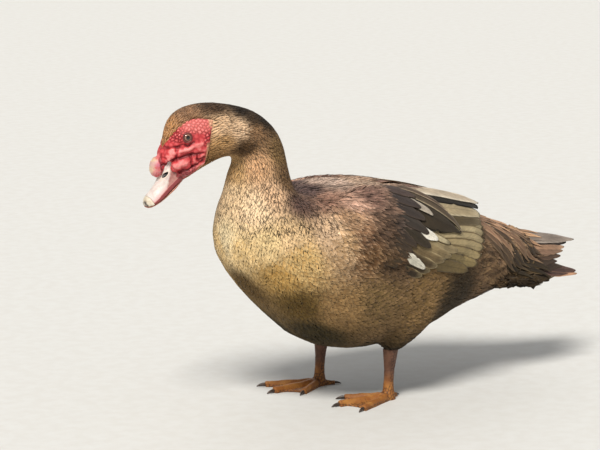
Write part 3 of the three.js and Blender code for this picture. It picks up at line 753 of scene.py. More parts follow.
def lobeMatrices():
    middle = sum((corner for side in ("left", "right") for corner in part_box(f"eye_{side}")), Vector()) / 4
    made = []
    for lobe in lobePlan.values():
        for side in ("left", "right"):
            ahead, out, up = headWays(side)
            a, o, u = lobe["at"]
            tilt = math.radians(lobe["tilt"])
            along = ahead * math.cos(tilt) - up * math.sin(tilt)
            rising = up * math.cos(tilt) + ahead * math.sin(tilt)
            turn = Matrix((along, out, rising)).transposed().to_4x4()
            centre = middle + (ahead * a + out * o + up * u) * mm
            size = Matrix.Diagonal((*[half * mm for half in lobe["size"]], 1))
            made.append(Matrix.Translation(centre) @ turn @ size)
    return made


def faceRelief(spots):
    height = np.zeros(len(spots))
    for form in facePlan.values():
        if isinstance(form, dict):
            start, end = np.array(form["start"], float), np.array(form["end"], float)
            line = end - start
            flat = spots[:, (0, 2)] - start
            share = np.clip(flat @ line / (line @ line), 0, 1)
            gap = np.linalg.norm(flat - share[:, None] * line, axis=1)
            height += form["height"] * np.exp(-(gap / form["width"]) ** 2)
    return height


# Domes round seeds, of unlike heights, with creases where two meet
def cobbles(places, seeds, spacing):
    tree = treeOf(seeds)
    found = [tree.find_n(place, 2) for place in places]
    heights = chance.uniform(0.55, 1, len(seeds))[[row[0][1] for row in found]]
    return heights * rise(0, 0.85, np.array([row[1][2] - row[0][2] for row in found]) / spacing)


# The head's skin and the body's overlap between two slanted cuts across the upper neck
seamPlan = {"head": (-140, 0, 262), "body": (-147, 0, 272), "way": (0.57, 0, -0.82)}
bareNodes = ("face_left", "face_right", "bill_knob")


def headward(places):  # how far headwards of the head's cut
    behind, _, above = (places - seamPlan["head"]).T
    return above * -seamPlan["way"][2] - behind * seamPlan["way"][0]


# The face's relief, then how deep in a crease and how raised each place is, which its colours read as
# painted shade and painted highlight.
# Beads lie above the eye and ahead of it, and cobbles below.
def faceForm(places, spots, whole):
    plan = facePlan
    seeds, wide = [whole.scatter(lambda at: np.where(headPlaces(at)[:, 2] > lowest, spacing, 0), 5)
                   for spacing, lowest in ((plan["beads"], plan["beadsDown"]),
                                           (plan["cobbles"], plan["cobblesDown"]))]
    ahead, out, up = spots.T
    beaded = rise(1, 6, up) + rise(-9, -1, up) * rise(3, 9, ahead) * rise(21, 15, ahead)
    beaded = np.clip(beaded + rise(-15, -21, ahead) * rise(-16, -4, up), 0, 1)
    small = cobbles(places, seeds, plan["beads"])
    large = cobbles(places, wide, plan["cobbles"])
    wander = np.array([noise.noise_vector(Vector(place) * plan["wanderScale"]) for place in places])
    form = faceRelief(spots + wander * plan["wander"]) * rise(3, 7, out)
    relief = form + beaded * plan["beadHeight"] * (small - 0.6)
    relief = relief + (1 - beaded) * (0.3 * (large - 0.5) + 0.12 * (small - 0.5))
    crease = np.clip(-form * 0.42, 0, 1) + beaded * (0.55 - small) * 0.9
    crease = crease + (1 - beaded) * (0.4 - large) * 0.3
    raised = 0.5 + form * 0.32 + beaded * (small - 0.5) * 0.8 + (1 - beaded) * (large - 0.4) * 0.25
    return relief, np.clip(crease, 0, 1), np.clip(raised, 0, 1)


def makeHeadSkin():
    plan, lobes = facePlan, lobeMatrices()
    made = remeshed("headSkin", ["head", "neck", *bareNodes], plan["voxel"], plan["swell"],
                    plan["smoothing"], lobes)
    mesh = made.data
    bare, whole = grownSurface(bareNodes, lobes), Surface(mesh)
    shape = bmeshOf(mesh)
    cutAway(shape, seamPlan["head"], seamPlan["way"])
    near = bare.distances(np.array([vert.co for vert in shape.verts]) / mm) < plan["subdivided"]
    edges = [edge for edge in shape.edges if near[edge.verts[0].index] and near[edge.verts[1].index]]
    bmesh.ops.subdivide_edges(shape, edges=edges, cuts=1, use_grid_fill=True, smooth=1)
    bmesh.ops.triangulate(shape, faces=[face for face in shape.faces if len(face.verts) > 4])
    shape.to_mesh(mesh)
    shape.free()
    places, normals = placesOf(mesh), normalsOf(mesh)
    spots = headPlaces(places)
    share = 1 - rise(0.9, 2.2, bare.distances(places))
    share = np.maximum(share, rise(-9, -5, spots[:, 0]) * rise(-31, -34, spots[:, 2]))
    relief, crease, raised = faceForm(places, spots, whole)
    depth = alongSpine(places)["depth"]
    movePlaces(mesh, places + normals * ((1 - share) * -depth + share * (relief - plan["sunk"]))[:, None])
    for name, values in (("raised", raised), ("crease", crease), ("bare", share)):
        attach(mesh, name, "FLOAT", values)
    return made


# How deep the form can be moved in at each place without passing through its far side
def roomInside(surface, places, normals, reach):
    room = np.full(len(places), float(reach))
    for index, (place, normal) in enumerate(zip(places, normals)):
        found = surface.tree.ray_cast(Vector(place - normal * 0.05), Vector(-normal), reach * 4)
        if found[0]:
            room[index] = found[3]
    return room


# The skin's mesh, how far back it goes on the tail and the wings, how much deeper it lies on the head,
# and the largest share of the room inside that it moves in by
skinPlan = {
    "voxel": 3.1, "swell": 0.6, "smoothing": 3, "tailEnd": 212, "tailTaper": 0.4, "wingEnd": 68,
    "headExtra": 1.6, "share": 0.3, "reach": 20,
}
fleshNodes = ["trunk", "neck", "head", "thigh_left", "thigh_right"]
wingNodes = ["wing_left", "wing_right"]


# The fleshy front of the tail, which carries the quills, as the hull of the fan's front
def tailFront():
    fan, hull = grownCopies(["tail"], 0), bmesh.new()
    for vert in fan.verts:
        if vert.co.x < skinPlan["tailEnd"] * mm - abs(vert.co.y) * skinPlan["tailTaper"]:
            hull.verts.new(vert.co)
    bmesh.ops.convex_hull(hull, input=hull.verts[:])
    bmesh.ops.delete(hull, geom=[vert for vert in hull.verts if not vert.link_faces], context="VERTS")
    return meshOf("tailFront", hull)


# The wings without their rear ends, where quills stand free
def wingFronts():
    wings = grownCopies(wingNodes, skinPlan["swell"])
    cutAway(wings, (skinPlan["wingEnd"], 0, 0), (1, 0, 0))
    bmesh.ops.holes_fill(wings, edges=[edge for edge in wings.edges if edge.is_boundary])
    return meshOf("wingFronts", wings)


def makeForm():  # the body without its coat, which the skin is made from
    plan = skinPlan
    made = remeshed("form", fleshNodes, plan["voxel"], plan["swell"], plan["smoothing"],
                    solids=[tailFront(), wingFronts()])
    bpy.context.scene.collection.objects.unlink(made)
    return made.data


def coatGround(form):  # what the coats are laid on: the form with the tail's fan
    ground = bmeshOf(form)
    ground.from_mesh(meshOf("fan", grownCopies(["tail"], 0.4)))
    return Surface(meshOf("ground", ground))


def makeSkin(form):
    plan = skinPlan
    body = newObject("skin", bmeshOf(form))
    mesh = body.data
    places, normals = placesOf(mesh), normalsOf(mesh)
    depth = alongSpine(places)["depth"] + plan["headExtra"] * rise(1, 7, headward(places))
    depth = np.minimum(depth, plan["share"] * roomInside(Surface(form), places, normals, plan["reach"]))
    movePlaces(mesh, places - normals * depth[:, None])
    shape = bmeshOf(mesh)
    cutAway(shape, seamPlan["body"], [-part for part in seamPlan["way"]])
    shape.to_mesh(mesh)
    shape.free()
    for name in ("bare", "crease", "raised"):
        attach(mesh, name, "FLOAT", np.zeros(len(mesh.vertices)))
    head = makeHeadSkin()
    with bpy.context.temp_override(active_object=body, selected_editable_objects=[body, head]):
        bpy.ops.object.join()
    mesh = body.data
    places = placesOf(mesh)
    attachShades(mesh, *markings(places))
    attach(mesh, "headPlace", "FLOAT_VECTOR", headPlaces(places))
    finishPiece(body, skinFinish(), "body_plumage", *fleshNodes, *wingNodes, *bareNodes)
    say(f"skin: {trianglesOf(mesh)} triangles")


def bareColour(finish, place, crease):  # the red skin, the fine and broad patterns in it, and painted highlights and shade that follow its relief
    ahead, _, up = finish.parts(finish.attribute("headPlace", "Vector"))
    raised = finish.attribute("raised", "Fac")
    cloud = finish.noise(place, 130, 4)
    fine = finish.noise(place, 900, 3)
    # Lighter on raised lobes and beads and darker low down: partly the skin's own tone, partly painted
    # highlight and painted shade that follow the relief
    share = raised + (cloud - 0.5) * 0.55
    colour = finish.blend(share.ramp(0.2, 0.62), "8e1c22", "c43e42")
    colour = finish.blend(share.ramp(0.55, 1.0), colour, "ea7f7c")
    high = up.ramp(1, 9) * ahead.ramp(12, -2)
    colour = finish.blend(high * 0.6, colour, "e58078")
    beyond = ahead.ramp(21.5, 25.5)
    lit = beyond * (up + (cloud - 0.5) * 12 + (ahead - 28) * 1.1).ramp(-41, -33)
    colour = finish.blend(beyond * 0.8, colour, finish.blend(cloud.ramp(0.35, 0.65), "c2585e", "dd9c9a"))
    # Pale cream on the knob's upper front, where lit: a painted highlight
    knobHighlight = (ahead + (up + 33) * 0.35 + (cloud - 0.5) * 7).ramp(28.5, 32.5) * lit
    colour = finish.blend(knobHighlight * 0.8, colour, "d6c4a2")
    purple = beyond * (cloud * 1.6 - (up + 29).math("ABSOLUTE") * 0.1).ramp(0.3, 0.7) * 0.45
    colour = finish.blend(purple, colour, "b97a98")
    rear = ahead.ramp(-19.5, -22) * up.ramp(-4, -10) + up.ramp(-29, -32) * ahead.ramp(-12, -17)
    rear = rear + ahead.ramp(-22.5, -25) * up.ramp(8, 12)
    colour = finish.blend(rear.math("MINIMUM", 1.0) * 0.75, colour, "d8ae88")
    gape = (up + ahead * 0.5 + (cloud - 0.5) * 3).ramp(-33.5, -36.5) * ahead.ramp(-14, -7)
    folds = finish.noise(place, 500, 3, stretch=(1, 1, 2.2))
    colour = finish.blend(gape * 0.9, colour, finish.blend(folds.ramp(0.4, 0.62), "74242c", "b4585a"))
    # Darker in the creases: painted shade
    colour = finish.blend(crease.ramp(0.05, 0.85) * (0.85 - high * 0.3), colour, "6d141b")
    # A pale painted highlight on raised places
    raisedHighlight = (fine * 0.5 + raised * 0.6).ramp(0.55, 0.9) * 0.4
    return finish.blend(raisedHighlight * (1 - gape), colour, "f0a4a0"), fine, cloud


def skinFinish():
    finish = Finish("skinFinish")
    place = finish.place()
    bare, crease = finish.attribute("bare", "Fac"), finish.attribute("crease", "Fac")
    red, fine, cloud = bareColour(finish, place, crease)
    streaks = finish.noise(place, 160, 4)
    down = finish.blend(streaks, finish.attribute("shade"), finish.attribute("edge"))
    colour = finish.blend(bare.ramp(0.25, 0.6), down, red)
    rough = 0.8 - bare * 0.36 + fine * 0.12
    normal = finish.bump(fine * 0.5 + cloud + finish.cells(place, 700) * 0.6, 0.25 * mm, 0.5)
    return finish.close(colour, rough, normal, Specular_IOR_Level=0.4, Subsurface_Weight=0.06,
                        Subsurface_Radius=(0.004, 0.0015, 0.001), Subsurface_Scale=0.6)


# Quills: the long feathers of the wings and the tail. They lie on a sheet, which reads the distance
# of a surface from a level line at each place along it and each angle down from the top.
class Sheet:
    def __init__(self, surface, plan):
        self.plan = plan
        self.along = np.arange(*plan["along"])
        self.angles = np.radians(np.arange(*plan["angles"]))
        reach = np.full((len(self.along), len(self.angles)), np.nan)
        for row, x in enumerate(self.along):
            for column, angle in enumerate(self.angles):
                way = Vector((0, -math.sin(angle), math.cos(angle)))
                axis = Vector((x, 0, plan["axis"]))
                place, _ = surface.hit(axis + way * 250, -way)
                if place:
                    reach[row, column] = (place - axis).dot(way)
        self.reach = self.filled(reach)

    # Goes on past the surface's rear and side edges with the slope that it has there
    def filled(self, reach):
        for table in (reach, reach.T):
            for line in table.T:
                known = np.flatnonzero(~np.isnan(line))
                if len(known) > 4:
                    first, last = known[0], known[-1]
                    slope = np.clip((line[last] - line[last - 3]) / 3, -1.2, 0.6)
                    line[last + 1:] = line[last] + slope * np.arange(1, len(line) - last)
                    line[:first] = line[first]
                    line[:] = np.interp(np.arange(len(line)), *self.knownIn(line))
        reach = np.where(np.isnan(reach), np.nanmean(reach), reach)
        for _ in range(2):
            padded = np.pad(reach, 1, mode="edge")
            ends = padded[:-2, 1:-1] + padded[2:, 1:-1]
            reach = (ends + padded[1:-1, :-2] + padded[1:-1, 2:] + 2 * reach) / 6
        return reach

    def knownIn(self, line):
        known = np.flatnonzero(~np.isnan(line))
        return known, line[known]

    def read(self, x, angle):
        row = np.clip((x - self.along[0]) / (self.along[1] - self.along[0]), 0, len(self.along) - 1.001)
        column = (angle - self.angles[0]) / (self.angles[1] - self.angles[0])
        column = np.clip(column, 0, len(self.angles) - 1.001)
        i, j = row.astype(int), column.astype(int)
        u, v = row - i, column - j
        near = mix(self.reach[i, j], self.reach[i, j + 1], v)
        far = mix(self.reach[i + 1, j], self.reach[i + 1, j + 1], v)
        radius = mix(near, far, u)
        return np.stack([x, -np.sin(angle) * radius, self.plan["axis"] + np.cos(angle) * radius], -1)

    # Places at x and at a girth in millimetres, and the normals there
    def at(self, flat):
        x, angle = flat[..., 0], flat[..., 1] / self.plan["girth"]
        step, turn = 2, 2 / 60
        behind = self.read(x + step, angle) - self.read(x - step, angle)
        down = self.read(x, angle + turn) - self.read(x, angle - turn)
        return self.read(x, angle), unit(np.cross(down, behind))


quillShape = {
    "stations": 26, "columns": 11, "round": 0.35, "notches": 2, "wave": 0.25, "ridge": 0.35, "camber": 0.35,
    "droop": 0.6, "thickness": (0.9, 0.5),
}
outlines = {  # from root to tip, as shares of a quill's width
    "square": (0.45, 0.85, 1, 1, 1, 0.97, 0.8), "rounded": (0.45, 0.85, 1, 1, 1, 0.94, 0.66),
    "oval": (0.4, 0.8, 1, 1, 0.92, 0.74, 0.4), "pointed": (0.45, 0.85, 1, 0.97, 0.8, 0.52, 0.12),
    "paddle": (0.4, 0.7, 0.95, 1, 1, 0.96, 0.72), "blunt": (0.6, 0.85, 1, 1, 1, 0.88, 0.4),
}


# One quill: its root and its tip, each (x, degrees down from the top), its width, how far above the
# sheet it lies at both ends, its colours and its outline
def quillOf(root, tip, width, layer, colour, edge, outline, **more):
    return {"root": root, "tip": tip, "width": width, "layer": layer, "colour": colour, "edge": edge,
            "outline": outline, **more}


# A row from its first quill to its last, each (root, tip, width, layer), with one for each colour
def rowOf(first, last, colours, edge, outline, **more):
    row = []
    for index, colour in enumerate(colours):
        share = index / (len(colours) - 1)
        form = [mix(np.array(start, float), np.array(end, float), share) for start, end in zip(first, last)]
        row.append(quillOf(*form, colour, edge, outline, **more))
    return row


# The places of quills laid on a sheet, vane by station by column
def layQuills(sheet, quills):
    shape = quillShape
    stations, columns = shape["stations"], shape["columns"]
    along = np.linspace(0, 1, stations)
    across = np.linspace(-1, 1, columns)
    girth = sheet.plan["girth"]
    made = []
    for quill in quills:
        root = np.array([quill["root"][0], math.radians(quill["root"][1]) * girth])
        tip = np.array([quill["tip"][0], math.radians(quill["tip"][1]) * girth])
        line = tip - root
        beside = np.array([-line[1], line[0]]) * quill.get("bow", 0)
        centre = root + line * along[:, None] + beside * (4 * along * (1 - along))[:, None]
        heading = unit(np.gradient(centre, axis=0))
        side = np.stack([-heading[:, 1], heading[:, 0]], 1)
        outline = outlines[quill["outline"]]
        profile = np.interp(along, np.linspace(0, 1, len(outline)), outline)
        notches = np.ones((stations, columns))
        for _ in range(shape["notches"]):
            place, edge = chance.uniform(0.35, 0.95), chance.choice([-1, 1])
            dip = chance.uniform(0.08, 0.22) * np.exp(-((along - place) / 0.018) ** 2)
            notches -= dip[:, None] * (across * edge > 0.4) * np.abs(across)
        reach = profile[:, None] * quill["width"] / 2 * across * notches
        wave = shape["wave"] * np.sin(along * 9 + chance.uniform(0, 6))[:, None] * np.abs(across)
        pull = -quill.get("round", shape["round"]) * rise(0.6, 1, along)[:, None] * across ** 2
        pull = pull * quill["width"] / 2
        flat = centre[:, None] + side[:, None] * (reach + wave)[..., None]
        flat = flat + heading[:, None] * pull[..., None]
        places, normals = sheet.at(flat)
        layer = mix(quill["layer"][0], quill["layer"][1], along)[:, None]
        layer = layer + shape["ridge"] * np.exp(-(across / 0.08) ** 2)
        layer = layer - shape["camber"] * (across ** 2) * quill["width"] / 20
        layer = layer + quill.get("tilt", 0) * across
        layer = layer - shape["droop"] * rise(0.9, 1, along)[:, None]
        top = places + normals * layer[..., None]
        middle, upright = sheet.at(centre)
        thick = mix(shape["thickness"][0], shape["thickness"][1], along)
        back = middle + upright * (layer[:, columns // 2] - shape["ridge"] - thick)[:, None]
        made.append(np.concatenate([top, back[:, None]], 1))
    return np.array(made)


def quillPiece(name, sheet, quills, finish, slot, mirror=False, nodes=()):
    places = layQuills(sheet, quills)
    if mirror:
        places = places * (1, -1, 1)
        places[:, :, :-1] = places[:, :, -2::-1]
    codes = np.array([[tone(code) if isinstance(code, str) else code
                       for code in (quill["colour"], quill["edge"])] for quill in quills])
    count = len(quills)
    strips = np.stack([(np.arange(count) + 0.5) / count, np.full(count, 0.5)], 1)
    rims = np.array([quill.get("rim", 0.5) for quill in quills])
    made = vaneObject(name, places, codes.transpose(1, 0, 2), rims, strips, np.array([0.8 / count, 0.96]))
    finishPiece(made, finish, slot, *nodes)
    say(f"{name}: {count} quills")


wingSheetPlan = {"along": (-128, 150, 4), "angles": (0, 102, 3), "axis": 146, "girth": 88}


def wingQuills():
    # The lowest secondaries are darker, partly their own colour and partly painted shade on the wing's
    # lower rear
    secondaries = rowOf(
        ((-20, 84), (60, 92), 15, (-2.6, 2.2)), ((6, 62), (98, 57.5), 15, (-2.6, 0.2)),
        ("6f5f3e", "82724d", "9f8d66", "a89670", "ab9a76", "ab9b78", "a39474", "8b7c60"),
        "6a5a3c", "rounded", rim=0.15, bow=-0.04, round=0.8, tilt=-0.5)
    tips = ((64, 95), (79, 91.5), (88.5, 86.5), (94.5, 80.5), (97.5, 74.5), (99, 68.5), (99, 63),
            (98.5, 57.5))
    for quill, tip in zip(secondaries, tips):
        quill["tip"] = tip
    inner = [
        # The first inner quill is darker, partly its own colour and partly painted shade below the pale
        # panel
        quillOf((0, 56), (98, 57.5), 17, (-2, 1.0), "51452f", "857659", "square", rim=0.35),
        quillOf((-4, 46), (103, 49), 21, (-1.6, 1.6), "9c8c6e", "c0b294", "square", rim=0.35),
        # The near-black quill under the pale top quill is a painted shadow, for the shade that the raised
        # quill casts
        quillOf((-10, 31), (109, 38.5), 25, (-2.4, 3), "20190f", "120d08", "square", rim=0.3),
        quillOf((-2, 25), (115, 33.5), 25, (-1.6, 4.6), "b3a38d", "e2d6c2", "paddle", rim=0.6, round=0.8),
        quillOf((-34, 13), (72, 18), 22, (-3.4, 0.2), "7c5a4a", "b08a70", "oval", rim=0.4),
        quillOf((-36, 20), (40, 26), 16, (-3.2, 0.8), "6d4c40", "a68470", "oval", rim=0.4),
    ]
    coverts = rowOf(
        ((-52, 76), (-2, 93), 13, (-3, 0.6)), ((-14, 58), (46, 79), 13, (-2, 1.8)),
        ("33281a", "3f3322", "4d3f2a", "6d5c40", "7f6e4f", "8f7f5f"), "9c8b68", "oval", rim=0.45, bow=0.08)
    white = [
        quillOf((-60, 66), (-1, 87.5), 11, (-2.2, 1.8), "d3cebd", "e8e2d2", "oval"),
        quillOf((-6, 62), (35, 74), 8, (-1.4, 2.2), "b5a888", "564628", "oval"),
        quillOf((-22, 57), (17, 70.5), 12.5, (-1, 2.4), "e2dccd", "f4efe4", "oval"),
    ]
    dark = [
        quillOf((-34, 40), (54, 68), 34, (-2, 2.2), "342b1f", "352d20", "pointed", rim=0.4, bow=-0.02),
        quillOf((-30, 26), (56, 67.5), 15, (-1.6, 2.8), "4c4032", "a3937a", "pointed", rim=0.25, bow=-0.12),
        quillOf((-36, 21), (44, 52), 11, (-1.4, 3.1), "57473a", "b09c84", "pointed", rim=0.25, bow=-0.12),
        quillOf((-18, 36), (19, 54.5), 11, (-1.2, 3.3), "a3988a", "bdb2a2", "oval", bow=-0.05),
    ]
    low = rowOf(
        ((-84, 68), (-38, 84), 12, (-3, 0.6)), ((-58, 50), (-14, 73), 14, (-2.4, 1.8)),
        ("4c3a24", "3f3322", "3b3023", "3a2f25", "372d25"), "4e3f2e", "oval", rim=0.3)
    middle = rowOf(
        ((-46, 51), (5, 74.5), 15, (-2, 2.4)), ((-34, 24), (8, 40), 15, (-1.4, 3)),
        ("332b1f", "37302a", "342c28", "382f2c", "463833"), "453930", "oval", rim=0.3)
    return secondaries + inner + coverts + white + dark + low + middle


def quillFinish():
    finish = Finish("quillFinish")
    place = finish.place()
    across, along, rimWide = finish.parts(finish.attribute("vane", "Vector"))
    side = across.math("ABSOLUTE")
    barb = finish.node("ShaderNodeCombineXYZ", sockets={
        0: side * 1.2, 1: along * 26 - side * 4, 2: rimWide * 9})
    streaks = finish.noise(barb, 1.6, 5, 0.65)
    cloud = finish.noise(place, 55, 3)
    ragged = finish.noise(place, 420, 2) - 0.5
    rim = (side + ragged * 0.08).ramp(0.72, 0.86).math("MAXIMUM", (along + ragged * 0.03).ramp(0.95, 0.98))
    wide = side.math("MAXIMUM", along.ramp(0.7, 1.0)).ramp(0.35, 1.0) * rimWide
    share = rim.math("MAXIMUM", wide).math("MINIMUM", 1.0)
    colour = finish.blend(share, finish.attribute("shade"), finish.attribute("edge"))
    shaft = side.ramp(0.02, 0.07, 1.0, 0.0)
    level = 0.97 + (streaks - 0.5) * 1.1 + (cloud - 0.5) * 1.1 + ragged * 0.2
    # Darker towards the root: painted shade under the feathers that cover it. The darker shaft is the
    # quill's own colour
    level = level * along.ramp(0.0, 0.35, 0.75, 1.0) * (1 - shaft * 0.25)
    colour = finish.blend(1.0, colour, finish.grey(level), "MULTIPLY")
    barbs = ((along * 150 + side * 26) * 6.2832).math("SINE")
    normal = finish.bump(barbs * 0.25 + shaft * 2 + streaks * 2, 0.3 * mm, 0.5)
    return finish.close(colour, 0.55 + streaks * 0.3, normal, Specular_IOR_Level=0.2,
                        Sheen_Weight=0.05, Sheen_Roughness=0.5)


rumpSheetPlan = {"along": (70, 250, 4), "angles": (-100, 101, 4), "axis": 98, "girth": 58}
# The coverts' tips lie in tiers, and the rearmost tier ends at a reach for each angle down from the top
covertPlan = {
    "angles": (4, 20, 37, 52, 66, 78, 88), "reach": (226, 222, 212, 212, 214, 211, 204), "front": 78,
    "tiers": 4, "apart": 24, "lowest": (58, 70, 76, 82), "beside": 7, "length": 78, "turn": 34,
    "width": 10.5,
    "colours": ("b08a68", "a07a5c", "86664e", "4e3c2b", "382c20", "2a2217"),
    "edges": ("dcb48e", "c49e80", "a4866c", "705d48", "544631", "3a3120"),
}


def rumpQuills():
    plan, quills = covertPlan, []
    colours, edges = ([tone(code) for code in plan[key]] for key in ("colours", "edges"))
    for tier in range(plan["tiers"]):
        for angle in range(5 + 3 * (tier % 2), plan["lowest"][tier], plan["beside"]):
            low = angle + chance.uniform(-2, 2)
            reach = np.interp(low, plan["angles"], plan["reach"])
            reach = reach - plan["apart"] * (plan["tiers"] - 1 - tier) + chance.uniform(-5, 5)
            root = max(reach - plan["length"], plan["front"])
            turn = plan["turn"] * rise(8, 48, low) * (reach - root) / plan["length"]
            share = np.clip(low / plan["angles"][-1] + chance.uniform(-0.14, 0.14), 0, 0.999)
            share = share * (len(colours) - 1)
            index = int(share)
            shade, edge = (mix(codes[index], codes[index + 1], share - index) for codes in (colours, edges))
            light = chance.choice((0.7, 1, 1.3))
            for side in (-1, 1):
                quills.append(quillOf(
                    (root, side * (low - turn)), (reach, side * low), plan["width"],
                    (-2.5, 2.35 - tier * 0.15), shade * light, edge * light, "pointed",
                    rim=0.7, bow=-0.07 * side))
    return quills


tailSheetPlan = {"along": (100, 300, 4), "angles": (-96, 97, 4), "axis": 98, "girth": 42}
tailPlan = {
    "root": 140, "width": 16, "outerWidth": 12,
    "rows": (  # of one side, from the outermost in: angle and reach of the tip, layer, colour and edge
        (76, 256, -2.2, "b88a6c", "dcae8c"), (71, 256, -1.8, "45342f", "6b4f46"),
        (62, 238, -1.3, "33281f", "4c3d30"), (53, 234, -0.8, "382c22", "54443a"),
        (44, 243, -0.2, "4a382c", "6d5543"), (35, 250, 0.4, "806451", "a08168"),
        # The row at 17 degrees, near black, is a painted shadow beneath the top quill at 8 degrees
        (27, 256, 0.6, "94745c", "c09c80"), (17, 264, 0.8, "2c1f18", "20150f"),
        (8, 281, 1.7, "83766c", "ac9f94"),
    ),
}


def tailQuills():
    plan, quills = tailPlan, []
    for side in (-1, 1):
        for index, (angle, reach, layer, colour, edge) in enumerate(plan["rows"]):
            quills.append(quillOf(
                (plan["root"], side * angle * 0.5), (reach, side * angle),
                plan["width"] if index else plan["outerWidth"],
                (-3 + index * 0.2, layer + (side > 0) * 0.1), colour, edge, "blunt",
                rim=0.3, round=0.9, bow=0.03 * side))
    return sorted(quills, key=lambda quill: quill["layer"][1])


# Eyes: a ball with a clear bulge over the iris, in a ring of dark lids
eyePlan = {
    "gaze": (0.04, 1, 0.02), "bulge": 0.5, "bulgeRadius": 4.4,
    "lidRadius": 4.5, "lidDepth": 5.1, "lidThickness": 0.95, "lidTall": 1.1, "lidSteps": 44,
    "span": 6.4, "rings": (  # the pupil, the iris and what lies round it, as shares of the span
        (0.0, "070504"), (0.27, "0a0706"), (0.32, "5a3c30"), (0.45, "9a7362"), (0.53, "86604f"),
        (0.585, "2c1b16"), (1.0, "1a100d")),
}


def eyeMatrix(side):
    low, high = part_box(f"eye_{side}")
    ahead, out, up = headWays(side)
    a, o, u = eyePlan["gaze"]
    gaze = (ahead * a + out * o + up * u).normalized()
    beside = up.cross(gaze).normalized()
    turn = Matrix((beside, gaze.cross(beside), gaze)).transposed().to_4x4()
    return Matrix.Translation((low + high) / 2) @ turn, (high.z - low.z) / 2 / mm


def makeEye(side, finish):
    plan = eyePlan
    place, radius = eyeMatrix(side)
    shape = bmesh.new()
    bmesh.ops.create_uvsphere(shape, u_segments=48, v_segments=36, radius=radius)
    rings = []
    for vert in shape.verts:
        ring = math.hypot(vert.co.x, vert.co.y)
        rings.append(ring if vert.co.z > 0 else 2 * radius)
        if vert.co.z > 0 and ring < plan["bulgeRadius"]:
            vert.co.z += plan["bulge"] * (1 - (ring / plan["bulgeRadius"]) ** 2)
    shape.transform(place @ Matrix.Scale(mm, 4))
    made = newObject(f"eyeball_{side}", shape)
    attach(made.data, "ring", "FLOAT", rings)
    finishPiece(made, finish, "eye", f"eye_{side}")


def makeLids(side, finish):
    plan = eyePlan
    place, _ = eyeMatrix(side)
    shape = bmesh.new()
    ring = bmesh.ops.create_circle(shape, segments=12, radius=plan["lidThickness"])
    upright = Matrix.Rotation(math.pi / 2, 4, "X")
    away = Matrix.Translation((plan["lidRadius"], 0, plan["lidDepth"]))
    bmesh.ops.transform(shape, matrix=away @ upright, verts=ring["verts"])
    bmesh.ops.spin(shape, geom=[*shape.verts, *shape.edges], cent=(0, 0, 0), axis=(0, 0, 1),
                   angle=2 * math.pi, steps=plan["lidSteps"], use_merge=True)
    bmesh.ops.remove_doubles(shape, verts=shape.verts, dist=0.001)
    bmesh.ops.recalc_face_normals(shape, faces=shape.faces)
    for vert in shape.verts:
        around = math.atan2(vert.co.y, vert.co.x)
        ring = math.hypot(vert.co.x, vert.co.y)
        crinkle = 0.07 * math.sin(around * 17) + 0.05 * math.sin(around * 29 + 1)
        vert.co.z += crinkle - 0.045 * max(ring - plan["lidRadius"], 0) ** 2
        vert.co.y = vert.co.y * plan["lidTall"] - 0.35 * max(math.sin(around), 0) ** 2
    shape.transform(place @ Matrix.Scale(mm, 4))
    made = newObject(f"lids_{side}", shape)
    subdivision = made.modifiers.new("round", "SUBSURF")
    subdivision.levels = subdivision.render_levels = 1
    finishPiece(made, finish, "bare_skin")


def eyeFinish():
    finish = Finish("eyeFinish")
    ring = finish.attribute("ring", "Fac")
    fibres = finish.noise(finish.place(), 1500, 3)
    spot = (ring + (fibres - 0.5) * 0.25) / eyePlan["span"]
    colour = finish.node("ShaderNodeValToRGB", {"stops": eyePlan["rings"]}, {0: spot})
    return finish.close(colour, 0.04 + fibres * 0.02, None, Specular_IOR_Level=0.7)


def lidFinish():
    finish = Finish("lidFinish")
    place = finish.place()
    wrinkles = finish.cells(place, 900)
    cloud = finish.noise(place, 300, 4)
    colour = finish.blend(cloud.ramp(0.3, 0.7), "4c1f1e", "8a4541")
    normal = finish.bump(wrinkles + cloud, 0.2 * mm, 0.7)
    return finish.close(colour, 0.42 + cloud * 0.2, normal, Specular_IOR_Level=0.45)


# The bill. The nostril is a slit, which lies along the bill.
billPlan = {
    "voxel": 0.55, "smoothing": 3, "nostril": (19.2, -39.9), "slope": 0.86, "slit": (3.7, 1.25),
    "rimHeight": 0.45, "pitDepth": 1.7, "jaw": {"wider": 1.2, "lower": 1.3},
}


# Distance from the nostril's middle, where 1 is the slit's edge
def slitGap(ahead, up, root):
    (a, u), slope, (length, height) = (billPlan[key] for key in ("nostril", "slope", "slit"))
    along = ((ahead - a) * math.cos(slope) - (up - u) * math.sin(slope)) / length
    across = ((ahead - a) * math.sin(slope) + (up - u) * math.cos(slope)) / height
    return root(along * along + across * across)


